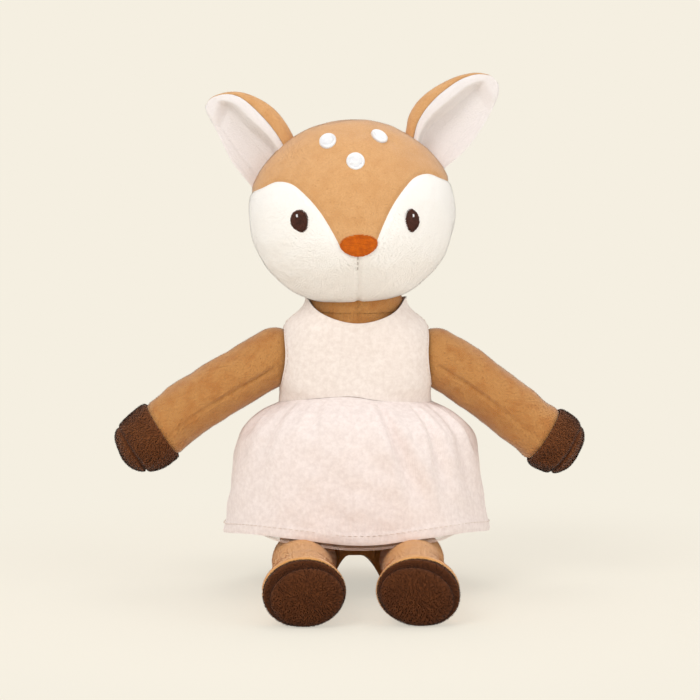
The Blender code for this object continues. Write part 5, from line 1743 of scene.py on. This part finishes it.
def read_all(target: bpy.types.bpy_prop_collection, name: str, width: int,
             kind: type = np.float32) -> Array:
    """Reads one property of all of a mesh's items, a row for each.

    Args:
        target: the items.
        name: the property.
        width: how many numbers it has.
        kind: the type of its numbers.

    Returns:
        The numbers, items by width.
    """
    found = np.empty(len(target) * width, kind)
    target.foreach_get(name, found)
    return found.reshape(-1, width)


@dataclass
class Body:
    """The body cover, the neck and the tail."""

    height: float = 0.1395
    half_width: float = 0.0440
    half_depth: float = 0.0360
    form: tuple = ((0.00, 0.84, 0.82), (0.03, 0.93, 0.92), (0.09, 0.985, 0.98), (0.20, 1.00, 1.00),
                   (0.38, 0.95, 0.96), (0.58, 0.865, 0.87), (0.78, 0.79, 0.79), (0.90, 0.75, 0.745),
                   (0.96, 0.715, 0.705), (1.00, 0.60, 0.66))
    neck_span: tuple[float, float] = (0.1325, 0.1440)
    neck_change: tuple[float, float] = (0.1335, 0.1430)
    neck_foot: float = 0.1385
    neck_over_body: float = 0.0007
    neck_radius: float = 0.0242
    ball_radius: float = 0.0190
    ball_middle: float = 0.1504
    ball_low: float = 0.1446
    collar_span: tuple[float, float] = (0.1418, 0.1540)
    collar_change: tuple[float, float] = (0.1440, 0.1500)
    collar_narrowing: float = 0.0016
    collar_gap: float = 0.0006
    neck_seam: float = 0.0009
    neck_seam_half_width: float = 0.0010
    neck_wall: float = 0.0010
    tail_radius: float = 0.0036
    tail_length: float = 0.019
    tail_height: float = 0.0420
    tail_gap: float = 0.0004
    tail_lean: float = radians(10.0)
    tail_curl: float = 0.0016

    def half_sizes(self, heights: Array) -> Array:
        """Half width and half depth of the body at heights, from the table of its form."""
        return smooth_table(self.form, heights / self.height) * (self.half_width, self.half_depth)

    def settle(self, points: Array) -> Array:
        """Moves points of the body to where the seat gives way to the legs.

        What stands in front of y -9.5 mm is drawn back towards it, by 24 of 26.5 parts at the
        floor and less further up. Between the legs the lowest 40 mm are squeezed upwards, so
        that the seat is raised there by 15.3 mm, and by 0.17 mm more for each mm forward. Low
        down, what stands out more than 34 mm to a side is halved.
        """
        found = points.copy()
        x, y, z = np.abs(points[..., 0]) / MM, points[..., 1] / MM, points[..., 2] / MM
        outside = smooth_step(x, 20.0, 34.0)
        low, high = 2 + 32 * outside, 34 + 10 * outside
        part = np.clip((z - low) / (high - low), 0, 1)
        drawn = 24 * (1 - part * part * (3 - 2 * part))
        y = np.where(y < -9.5, -9.5 + (y + 9.5) * (26.5 - drawn) / 26.5, y)
        kept = 0.5 + 0.5 * smooth_step(z, 24.0, 36.0)
        found[..., 0] = np.where(x > 34, np.sign(points[..., 0]) * (34 + (x - 34) * kept) * MM,
                                 points[..., 0])
        raised = np.clip(15.3 - 0.17 * y, 0, 30) * (1 - smooth_step(x, 4.0, 17.0))
        z = np.where(z < 40, raised + z * (40 - raised) / 40, z)
        found[..., 1], found[..., 2] = y * MM, z * MM
        return found

    def copied(self, node: str, name: str, cell: float, smooth: int) -> Piece:
        """A piece with the node's solid, evened out to cells of one size, smoothed and settled.

        Args:
            node: the node whose solid is copied.
            name: the piece's name.
            cell: the size of the cells.
            smooth: how often it is smoothed.

        Returns:
            The piece, ready for its pile.
        """
        made = put_in_scene(name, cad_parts[node].data.copy())
        for kind, settings in (
            ("WELD", {"merge_threshold": 0.00001}),
            ("REMESH", {"mode": "VOXEL", "voxel_size": cell}),
            ("SMOOTH", {"factor": 0.5, "iterations": smooth}),
        ):
            step = made.modifiers.new(kind.lower(), kind)
            for key, value in settings.items():
                setattr(step, key, value)
        graph = bpy.context.evaluated_depsgraph_get()
        plain = bpy.data.meshes.new_from_object(made.evaluated_get(graph))
        bpy.data.objects.remove(made)
        points = self.settle(read_all(plain.vertices, "co", 3).astype(float))
        plain.vertices.foreach_set("co", points.astype(np.float32).ravel())
        plain.update()
        normals = read_all(plain.vertex_normals, "vector", 3)
        loops = read_all(plain.loops, "vertex_index", 1, np.int32)[:, 0]
        sizes = read_all(plain.polygons, "loop_total", 1, np.int32)[:, 0]
        piece = Piece(name)
        piece.windows = 1
        piece._add_points(points, normals.astype(float), 0.5)
        starts = np.r_[0, np.cumsum(sizes)[:-1]]
        for count in np.unique(sizes):
            index = loops[starts[sizes == count][:, None] + np.arange(count)]
            around = np.arctan2(points[index, 1], points[index, 0]) / (2 * pi) + 0.5
            around = around - np.round(around - around[:, :1])
            place = np.stack((np.clip(around, 0, 1), points[index, 2] / 0.15), -1)
            piece._add_faces(index, place)
        bpy.data.meshes.remove(plain)
        return piece

    def cover(self) -> None:
        """The body cover with pile on its seat, its stuffing and the bag of pellets in it."""
        for node, name, cell, smooth, finish in (
            ("body_cover", "body_cover_plush", 0.0016, 5, "plush_caramel"),
            ("body_stuffing", "body_filling", 0.0018, 4, "filling"),
            ("seat_pellet_bag", "pellet_bag", 0.0012, 3, "pellets"),
        ):
            piece = self.copied(node, name, cell, smooth)
            if node == "body_cover":
                self.seat_pile(piece)
            dress_piece(piece.build(finish), "torso", finish, node, fill=0.9)

    def seat_pile(self, piece: Piece) -> None:
        """Grows pile round the seat, on the form's ovals a little outside the cover."""
        heights = np.linspace(0.004, 0.062, 40)
        points = ovals(self.half_sizes(heights)[:, None], turns_round(90), heights[:, None])
        cover = 0.9 * smooth_step(points[..., 1], 0.0, 0.006)
        grid = Grid(self.settle(points), ring=True)
        piece.add_pile(grid, 0, Pile(1.2, LIMB_PILE, seed=71), cover, least_height=0.0002)

    def neck(self) -> None:
        """The neck: one piece from the body's oval over the ball, and a collar up to the head.

        Below the ball the half sizes go from the oval to the ring by a smooth step. A groove runs
        down the front of both pieces, where the two halves of the neck are sewn together.
        """
        heights = np.linspace(*self.neck_span, 26)
        oval = self.half_sizes(np.minimum(heights, self.neck_foot)) + self.neck_over_body
        part = smooth_step(heights, *self.neck_change)[:, None]
        sizes = mixed(oval, self.neck_radius, part)
        low = float(np.arcsin((self.ball_low - self.ball_middle) / self.ball_radius))
        angles = np.linspace(low, pi / 2, 24)
        ball = np.stack((self.ball_radius * np.cos(angles),) * 2, -1)
        ball[-1] = 0.0
        sizes = np.concatenate((sizes, ball))
        levels = np.concatenate((heights, self.ball_middle + self.ball_radius * np.sin(angles)))
        self._neck_piece("neck_plush", levels, sizes, True, ("torso", "neck", 0.1375, 0.1435))
        levels = np.linspace(*self.collar_span, 30)
        narrower = self.collar_narrowing * smooth_step(levels, *self.collar_change)
        size = self.neck_radius + self.collar_gap - narrower
        self._neck_piece("neck_collar", levels, np.stack((size, size), -1), False,
                         ("neck", "head", 0.1430, 0.1525))

    def _neck_piece(self, name: str, levels: Array, sizes: Array, closed: bool,
                    bend: tuple[str, str, float, float]) -> None:
        """Sews one neck piece from rings at levels, spanning from one body to the next."""
        turn = turns_round(120)
        off = np.abs((turn + pi / 2 + pi) % (2 * pi) - pi) * self.neck_radius
        wide = sizes[:, :1] > self.neck_radius * 0.9
        seam = (self.neck_seam * bell(off, self.neck_seam_half_width))[None] * wide
        points = ovals(sizes[:, None] - seam[..., None], turn, levels[:, None])
        if closed:
            points[-1] = points[-1].mean(0)
        grid = Grid(points, ring=True, pole_end=closed).facing(points - (0, 0, 0.13))
        piece = Piece(name)
        window = piece.add_shell(grid, self.neck_wall)
        piece.add_pile(grid, window, Pile(2.0, LIMB_PILE, comb=(0.0, -0.3, -1.0), seed=73),
                       wide * np.ones(points.shape[:2]))
        first, second, start, end = bend
        bend_piece(piece.build("plush_caramel"), (first, second),
                   "neck" if closed else None)

    def tail(self) -> None:
        """The tail: a short leaf that is a little flattened, pointed at its end."""
        table = ((-0.19, 0.0), (-0.13, 0.75), (0.0, 1.0), (0.3, 1.16), (0.6, 1.18), (0.84, 0.86),
                 (0.96, 0.42), (1.0, 0.0))
        shares = np.linspace(table[0][0], table[-1][0], 60)
        size = np.maximum(smooth_table(table, shares)[:, 0], 0.0) * self.tail_radius
        size[0] = size[-1] = 0.0
        turn = turns_round(60)
        along = np.array((0.0, sin(self.tail_lean), cos(self.tail_lean)))
        behind = np.array((0.0, cos(self.tail_lean), -sin(self.tail_lean)))
        depth = float(self.half_sizes(np.array(self.tail_height))[1])
        depth = depth + self.tail_gap + self.tail_radius
        root = np.array((0.0, depth, self.tail_height))
        points = (root + along * (shares * self.tail_length)[:, None, None]
                  + np.array((1.0, 0.0, 0.0)) * (size[:, None] * np.cos(turn))[..., None] * 1.1
                  + behind * (size[:, None] * np.sin(turn))[..., None] * 0.9)
        curl = self.tail_curl * smooth_step(shares, 0.2, 1.0)
        points = points + behind * curl[:, None, None]
        grid = Grid(points, ring=True, pole_start=True, pole_end=True).facing(
            points - points.mean(1, keepdims=True))
        piece = Piece("tail_plush")
        window = piece.add_skin(grid)
        piece.add_pile(grid, window, Pile(5.0, 0.0012, comb=tuple(along), seed=75))
        dress_piece(piece.build("plush_caramel"), "tail", "plush_caramel", "tail", fill=0.7)


# ---------------------------------------------------------------- dress


@dataclass
class Dress:
    """The sleeveless dress: three bodice panels, a closure, a gathered skirt and its net."""

    body: Body
    waist: float = 0.0945
    top: float = 0.1488
    foot: float = 0.1332
    armhole_radius: float = 0.0148
    armhole_middle: tuple[float, float] = (-0.0020, 0.1184)
    bodice_form: tuple = (
        (88.0, 39.6, 32.6, 2.0), (94.5, 38.9, 31.8, 2.0), (99.0, 38.4, 31.3, 2.2),
        (104.0, 38.0, 30.8, 2.8), (112.0, 37.8, 30.0, 3.1), (120.0, 37.8, 29.0, 3.2),
        (130.0, 36.8, 27.9, 3.1), (134.0, 35.6, 27.1, 2.9), (136.5, 34.4, 26.5, 2.7),
        (138.5, 32.6, 26.2, 2.5), (140.7, 29.8, 26.0, 2.4), (143.0, 27.6, 25.8, 2.3),
        (145.1, 26.3, 25.5, 2.2), (147.0, 25.5, 25.2, 2.1), (149.0, 25.2, 25.0, 2.1))
    waist_line: tuple = (
        (-180, 94.5), (-95, 94.5), (-65, 96.3), (-40, 98.9), (-21, 100.0), (-4, 100.2),
        (16, 98.4), (38, 97.0), (65, 95.6), (95, 94.5), (180, 94.5))
    hem_line: tuple = (
        (0, 29.7), (7, 29.9), (16, 30.8), (25, 31.7), (40, 32.4), (52, 32.2), (64, 31.2),
        (77, 29.6), (92, 28.6), (180, 28.5))
    cloth: float = 0.0010
    neck_half_width: float = 0.024
    neck_front: tuple[float, float] = (0.1367, 0.0108)
    neck_back: tuple[float, float] = (0.1440, 0.0035)
    neck_hem: tuple[float, float] = (0.0028, 0.0033)
    armhole_hem: tuple[float, float] = (0.0030, 0.0035)
    back_gap: float = 0.0003
    strip_margin: float = 0.0040
    hem_half_width: float = 0.0687
    hem_half_depth: float = 0.0580
    form: tuple = ((0.0, 0.575, 0.54), (0.05, 0.665, 0.66), (0.11, 0.745, 0.755),
                   (0.20, 0.825, 0.84), (0.33, 0.885, 0.895), (0.52, 0.925, 0.935),
                   (0.76, 0.965, 0.97), (1.0, 1.0, 1.0))
    fold: float = 0.0009
    fold_strength: float = 3.0
    folds: tuple = (
        (-76, -73, 4.0, 7.0, 1.7, 0.30), (-25, -26, 2.2, 5.0, 1.1, 0.30),
        (13, 32, 2.4, 6.0, 1.6, 0.95), (39, 41.5, 2.4, 6.0, 1.2, 0.85),
        (72, 84, 4.0, 8.0, 1.9, 0.45), (-48, -54, 3.0, 7.0, 0.6, 0.7),
        (-2, 3, 3.0, 7.0, 0.5, 0.6), (58, 64, 3.0, 8.0, 0.7, 0.9),
        (-104, -114, 4.0, 9.0, 1.5, 0.85), (-131, -138, 3.5, 8.0, 1.1, 0.7),
        (-158, -166, 4.0, 9.0, 1.5, 0.9), (176, 172, 3.5, 8.0, 1.1, 0.7),
        (148, 140, 4.0, 9.0, 1.6, 0.9), (122, 128, 3.5, 8.0, 1.2, 0.7),
        (101, 108, 4.0, 8.0, 1.4, 0.8))
    net_hang: float = 0.0026
    net_cells: int = 300
    net_inset: float = 0.0022
    net_edge: float = 0.0090
    hem_lift: float = 0.00028
    roll_lift: float = 0.00025
    roll_half_width: float = 0.0007
    soft_lift: float = 0.00032
    pull_lift: float = 0.00026
    skirt_hem: tuple[float, float] = (0.0050, 0.0056)
    skirt_stitch_height: float = 0.0047
    stitch_inset: float = 0.0024
    stitch_radius: float = 0.00013

    def sizes(self, heights: Array) -> tuple[Array, Array, Array]:
        """Outer half width, half depth and the power of the bodice's oval at heights."""
        found = smooth_table(self.bodice_form, np.asarray(heights) / MM)
        return found[..., 0] * MM, found[..., 1] * MM, found[..., 2]

    def around_body(self, theta: Array, heights: Array, grow: Array | float = 0.0,
                    front: bool = True) -> Array:
        """Points of the bodice at angles from straight ahead, or straight back, and heights.

        The reach r at an angle fulfils (r sin / width)^n + (r cos / depth)^n = 1, where n is the
        power of the oval at that height.
        """
        wide, deep, power = self.sizes(heights)
        reach = (np.abs(np.sin(theta) / wide) ** power
                 + np.abs(np.cos(theta) / deep) ** power) ** (-1 / power) + grow
        return np.stack((reach * np.sin(theta), reach * np.cos(theta) * (-1 if front else 1),
                         heights * np.ones_like(reach)), -1)

    def waist_height(self, turn: Array) -> Array:
        """The waist seam's height, from its table of angles from straight ahead."""
        off = from_ahead(turn)
        return smooth_table(self.waist_line, off)[..., 0] * MM

    def hem_height(self, turn: Array) -> Array:
        """The hem's height: lowest beside the legs, higher over each leg, a little less between."""
        off = np.abs(from_ahead(turn))
        return smooth_table(self.hem_line, off)[..., 0] * MM

    def neckline(self, across: Array, front: bool) -> Array:
        """The neckline's height: a parabola in front, nearly level at the back."""
        low, rise = self.neck_front if front else self.neck_back
        share = across / self.neck_half_width
        return np.minimum(low + rise * share ** (2 if front else 4), self.top)

    def panel(self, front: bool, sign: int) -> Grid:
        """One bodice panel: rows of height, each from one edge round to the other.

        The side edge is the side seam, then the armhole's circle, then the shoulder seam. The
        top row follows the neckline, and the rows below share out the dip.
        """
        middle_y, middle_z = self.armhole_middle
        bottom, crown = middle_z - self.armhole_radius, middle_z + self.armhole_radius
        around = np.linspace(0, pi, 56)
        rows = np.concatenate((
            np.linspace(self.waist, bottom, 22)[:-1],
            middle_z - self.armhole_radius * np.cos(around),
            np.linspace(crown, self.top, 16)[1:],
        ))
        inside = np.sqrt(np.clip(self.armhole_radius**2 - (rows - middle_z) ** 2, 0, None))
        ahead = inside - middle_y if front else inside + middle_y
        ahead = ahead + np.where(inside > 0, 0.0, 0.0002)
        wide, deep, power = self.sizes(rows)
        edge_x = wide * (1 - np.abs(ahead / deep) ** power) ** (1 / power)
        half = np.arctan2(edge_x, ahead)
        if front:
            theta = half[:, None] * np.linspace(-1, 1, 141)[None]
        else:
            start = np.arcsin(self.back_gap / wide)
            theta = sign * (start[:, None] + (half - start)[:, None] * np.linspace(0, 1, 80)[None])
        flat = self.around_body(theta, rows[:, None], 0.0, front)
        turn = np.arctan2(flat[..., 1], flat[..., 0])
        low = self.waist_height(turn) + 0.0002
        part = (rows - self.waist)[:, None] / (self.top - self.waist)
        dip = self.neckline(flat[..., 0], front)
        heights = low + part * (self.top - low)
        heights = mixed(heights, rows[:, None], smooth_step(part, 0.0, 0.19))
        heights = heights - smooth_step(part, 0.35, 1.0) * (self.top - dip)
        away = np.hypot(flat[..., 1] - middle_y, rows[:, None] - middle_z) - self.armhole_radius
        under = dip - heights
        hem = 1 - np.minimum(smooth_step(away, *self.armhole_hem),
                             smooth_step(under, *self.neck_hem))
        soft = Ripple(0.026, 81).at(flat)
        pulled = np.sin(theta * 7.0 + heights * 260.0) * smooth_step(1 - part, 0.45, 1.0)
        rolled = bell(np.minimum(away, under), self.roll_half_width)
        grow = (self.hem_lift * hem + self.roll_lift * rolled + self.soft_lift * soft
                + self.pull_lift * pulled)
        points = self.around_body(theta, heights, grow, front)
        return Grid(points).facing(points * LEVEL)

    def edge_stitches(self, piece: Piece, grid: Grid, front: bool) -> None:
        """Topstitches inside the armhole: along the panel's own columns, near its side edges."""
        points = grid.points
        level = points[:, :, 2].mean(1)
        low = self.armhole_middle[1] - self.armhole_radius - 0.0004
        high = self.armhole_middle[1] + self.armhole_radius + 0.0035
        rows = (level > low) & (level < high)
        for first in (True, False):
            edge = points[rows][:, 0 if first else -1]
            if not front and np.abs(edge[:, 0]).mean() < 0.01:
                continue
            inner = points[rows][:, 1:60] if first else points[rows][:, -60:-1][:, ::-1]
            reach = np.linalg.norm(np.cumsum(np.diff(
                np.concatenate((edge[:, None], inner), 1), axis=1), axis=1), axis=-1)
            line = np.stack([at_lengths(inner[row], reach[row], self.stitch_inset)
                             for row in range(len(edge))])
            self._run(piece, line)

    def _run(self, piece: Piece, line: Array, length: float = 0.0019, gap: float = 0.0008) -> None:
        """Sews running stitches along a line on the dress: bowed threads that dip at their ends."""
        here = running_stitches(smooth_path(line, 400), 0.0003, length, gap, 6)
        out = unit(here * LEVEL)
        lift = np.array((-0.0002, 0.00035, 0.00045, 0.00045, 0.00035, -0.0002))
        piece.add_threads(here + out * lift[None, :, None], self.stitch_radius, 1, 5, 1.0, out)

    def bodice(self) -> None:
        """Sews the three panels with their stitches."""
        for name, node, front, sign in (
            ("bodice_front_linen", "bodice_front", True, 1),
            ("bodice_back_linen_left", "bodice_back_left", False, 1),
            ("bodice_back_linen_right", "bodice_back_right", False, -1),
        ):
            piece = Piece(name)
            grid = self.panel(front, sign)
            piece.add_shell(grid, self.cloth)
            self.edge_stitches(piece, grid, front)
            item = dress_piece(piece.build("linen_bodice", "thread_linen"), "torso", "linen", node)

    def strip(self, name: str, half_width: float, height: float, wall: float, finish: str,
              slot: str, node: str, stitched: bool) -> bpy.types.Object:
        """A strip down the middle of the back, at a height over the back of the bodice."""
        levels = np.linspace(self.waist + self.strip_margin, self.foot - self.strip_margin, 40)
        deep = self.sizes(levels)[1][:, None]
        theta = np.arctan2((half_width * np.linspace(-1, 1, 22))[None], deep)
        points = self.around_body(theta, levels[:, None], height + wall, False)
        piece = Piece(name)
        piece.add_shell(Grid(points).facing(-FORWARD), wall)
        if stitched:
            for share in (-0.72, 0.72):
                theta = np.arctan2(half_width * share, deep[1:-1, 0])
                self._run(piece, self.around_body(theta, levels[1:-1], height + wall, False))
        return dress_piece(piece.build(finish, "thread_linen"), "torso", slot, node)

    def skirt_points(self, turn: Array, share: Array, inset: Array | float,
                     folds: float) -> Array:
        """Points of the skirt at angles round the body and shares of the way down to the hem.

        The half sizes come from the table of the skirt's form. Each fold is a valley with a
        ridge on both sides, exp(-u^2) less 0.45 exp(-(|u| - 1.7)^2), where u is the angle from
        the fold over its width; it starts at the waist, runs to one side and dies away. Low
        broad waves grow on the way down, and small gathers die away below the waist.
        """
        size = smooth_table(self.form, share) * (self.hem_half_width, self.hem_half_depth)
        top = self.waist_height(turn)
        height = top + (self.hem_height(turn) - top) * share
        wave = 0.60 * np.cos(5 * turn + 0.9 * np.sin(turn * 2 + 0.6))
        wave = wave + 0.30 * np.cos(9 * turn + 1.2)
        gather = np.exp(-share / 0.10) * smooth_step(share, 0.0, 0.02) * (
            0.32 * np.cos(38 * turn + 2.0 * np.sin(3 * turn)) + 0.22 * np.cos(57 * turn + 1.0))
        out = folds * (smooth_step(share, 0.0, 0.6) * (wave - 1.0) + gather)
        off = from_ahead(turn)
        strong = folds / self.fold * MM
        starts = smooth_step(share, -0.001, 0.05)
        for start, end, thin, wide, depth, last in self.folds:
            along = np.clip(share / last, 0, 1)
            width = thin + (wide - thin) * along
            away = (off - start - (end - start) * along + 180) % 360 - 180
            away = away / width
            valley = bell(away) - 0.45 * bell(np.abs(away) - 1.7)
            fade = starts * (1 - smooth_step(along, 0.35, 1.0))
            out = out - self.fold_strength * strong * depth * valley * fade
        reach = (1 + out / self.hem_half_width)[..., None]
        return ovals((size - np.asarray(inset)[..., None]) * reach, turn, height)

    def skirt(self) -> None:
        """Sews the gathered skirt, with a hem that is folded up and stitched."""
        columns, rows = 350, 76
        turn = turns_round(columns)[None] * np.ones((rows, 1))
        share = (np.linspace(0, 1, rows) ** 1.25)[:, None] * np.ones((1, columns))
        deep = (self.waist_height(turn) - self.hem_height(turn)) * (1 - share)
        hem = 1 - smooth_step(deep, *self.skirt_hem)
        edge = smooth_step(deep, 0.0, 0.0007)
        points = self.skirt_points(turn, share, -0.00035 * hem * edge, self.fold)
        soft = Ripple(0.018, 91).at(points)
        out = unit(points * LEVEL)
        points = points + out * (0.0004 * soft * smooth_step(share, 0.05, 0.3))[..., None]
        grid = Grid(points, ring=True).facing(points * LEVEL)
        piece = Piece("skirt_linen")
        piece.add_shell(grid, self.cloth * (1 + 0.5 * hem))
        around = turns_round(900)
        length = self.waist_height(around) - self.hem_height(around)
        share = 1 - self.skirt_stitch_height / length
        line = self.skirt_points(around, share, -0.00045, self.fold)
        self._run(piece, np.concatenate((line, line[:1])), 0.0021, 0.0009)
        item = dress_piece(piece.build("linen", "thread_linen"), "torso", "linen", "skirt")

    def hang(self, turn: Array) -> Array:
        """How far the net hangs below the hem: only in front, and above the hem elsewhere."""
        off = np.abs(from_ahead(turn))
        return self.net_hang - (self.net_hang + 0.0012) * smooth_step(off, 34.0, 54.0)

    def net(self) -> None:
        """Sews the net under the skirt: a thin layer, and an edge of real net that shows below.

        The edge's threads run both ways along the diagonals of small cells, each a wavy line.
        """
        columns, rows = 240, 30
        turn = turns_round(columns)[None] * np.ones((rows, 1))
        share = np.linspace(0.52, 0.985, rows)[:, None] * np.ones((1, columns))
        inset = self.net_inset - 0.0003
        points = self.skirt_points(turn, share, self.net_inset, self.fold * 0.9)
        grid = Grid(points, ring=True).facing(points * LEVEL)
        piece = Piece("tulle_layer")
        piece.add_shell(grid, 0.0005)
        layer = dress_piece(piece.build("tulle"), "torso", "tulle", "tulle_underskirt")
        edge = Piece("tulle_edge")
        levels = 8
        lines = []
        for way in (1, -1):
            steps = np.linspace(0, 1, levels * 2 + 1)
            angle = (turns_round(self.net_cells)[:, None]
                     + way * steps[None] * (2 * pi / self.net_cells) * levels)
            tall = self.waist_height(angle) - self.hem_height(angle)
            down = 1 + (self.hang(angle) - self.net_edge * (1 - steps)[None]) / tall
            line = self.skirt_points(angle, np.minimum(down, 1.0), inset, self.fold * 0.9)
            line[..., 2] -= np.maximum(down - 1.0, 0.0) * tall
            lines.append(line + unit(line * LEVEL) * (0.00008 * way))
        lines = np.concatenate(lines)
        edge.add_threads(lines, 0.00011, 0, 3, 1.0, unit(lines * LEVEL))
        around = turns_round(1200)
        for rise in (0.0, 0.0007):
            line = self.skirt_points(around, np.ones(1200), inset, self.fold * 0.9)
            line[:, 2] += 0.0002 * np.sin(around * self.net_cells) + rise - self.hang(around)
            line = np.concatenate((line, line[:2]))
            edge.add_threads(line[None], 0.00014, 0, 4, 1.0, unit(line * LEVEL)[None])
        made = dress_piece(edge.build("tulle"), "torso", "tulle")

    def sew(self) -> None:
        """Sews the whole dress."""
        self.bodice()
        tape = self.strip("closure_tape_strip", 0.0040, 0.0002, 0.0008, "touch_tape",
                          "touch_tape", "closure_tape", False)
        placket = self.strip("placket_linen", 0.0065, 0.0012, 0.0010, "linen_bodice", "linen",
                             "back_placket", True)
        self.skirt()
        self.net()


# ---------------------------------------------------------------- the toy


INNER_NODES = ("left_shoulder_fill", "right_shoulder_fill", "left_hip_fill", "right_hip_fill")


def dress_inner_nodes() -> None:
    """Gives the nodes that stay inside the covers the filling's finish."""
    for name in INNER_NODES:
        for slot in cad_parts[name].material_slots:
            slot.material = material("filling")
        LOG.info("%s keeps its solid", name)


RIGHT_EAR_LINES = (
    ((-31.2, 229.1), (-35.0, 236.0), (-41.0, 243.4), (-48.8, 248.8), (-58.9, 252.1),
     (-67.5, 251.4), (-73.6, 248.4), (-75.9, 244.6)),
    ((-52.0, 204.4), (-57.0, 210.7), (-61.5, 216.4), (-65.6, 223.8), (-69.4, 231.4),
     (-73.2, 238.2), (-75.4, 242.2), (-75.9, 244.6)),
)
LEFT_EAR_LINES = (
    ((25.6, 233.4), (26.8, 239.6), (30.2, 245.8), (37.2, 252.6), (44.3, 256.9), (53.4, 260.6),
     (63.0, 261.7), (69.0, 260.0), (72.4, 256.0)),
    ((44.4, 213.7), (50.4, 218.6), (55.8, 223.8), (60.6, 229.8), (64.8, 236.2), (69.4, 244.4),
     (72.4, 251.6), (72.4, 256.0)),
)


def main() -> None:
    """Sets up the stage, then builds the toy from the seat up."""
    logging.basicConfig(level=logging.INFO, format="%(message)s")
    dress_inner_nodes()
    Stage().set_up()
    body = Body()
    body.cover()
    body.neck()
    body.tail()
    head = Head()
    head.panels()
    head.filling()
    Face(head).sew()
    Ear(Side.LEFT, *LEFT_EAR_LINES, band=(0.20, 0.13, 0.05)).sew()
    Ear(Side.RIGHT, *RIGHT_EAR_LINES, band=(0.22, 0.19, 0.05)).sew()
    for side in Side:
        arm(side).sew()
        leg(side).sew()
    Dress(body).sew()


if __name__ == "__main__":
    main()
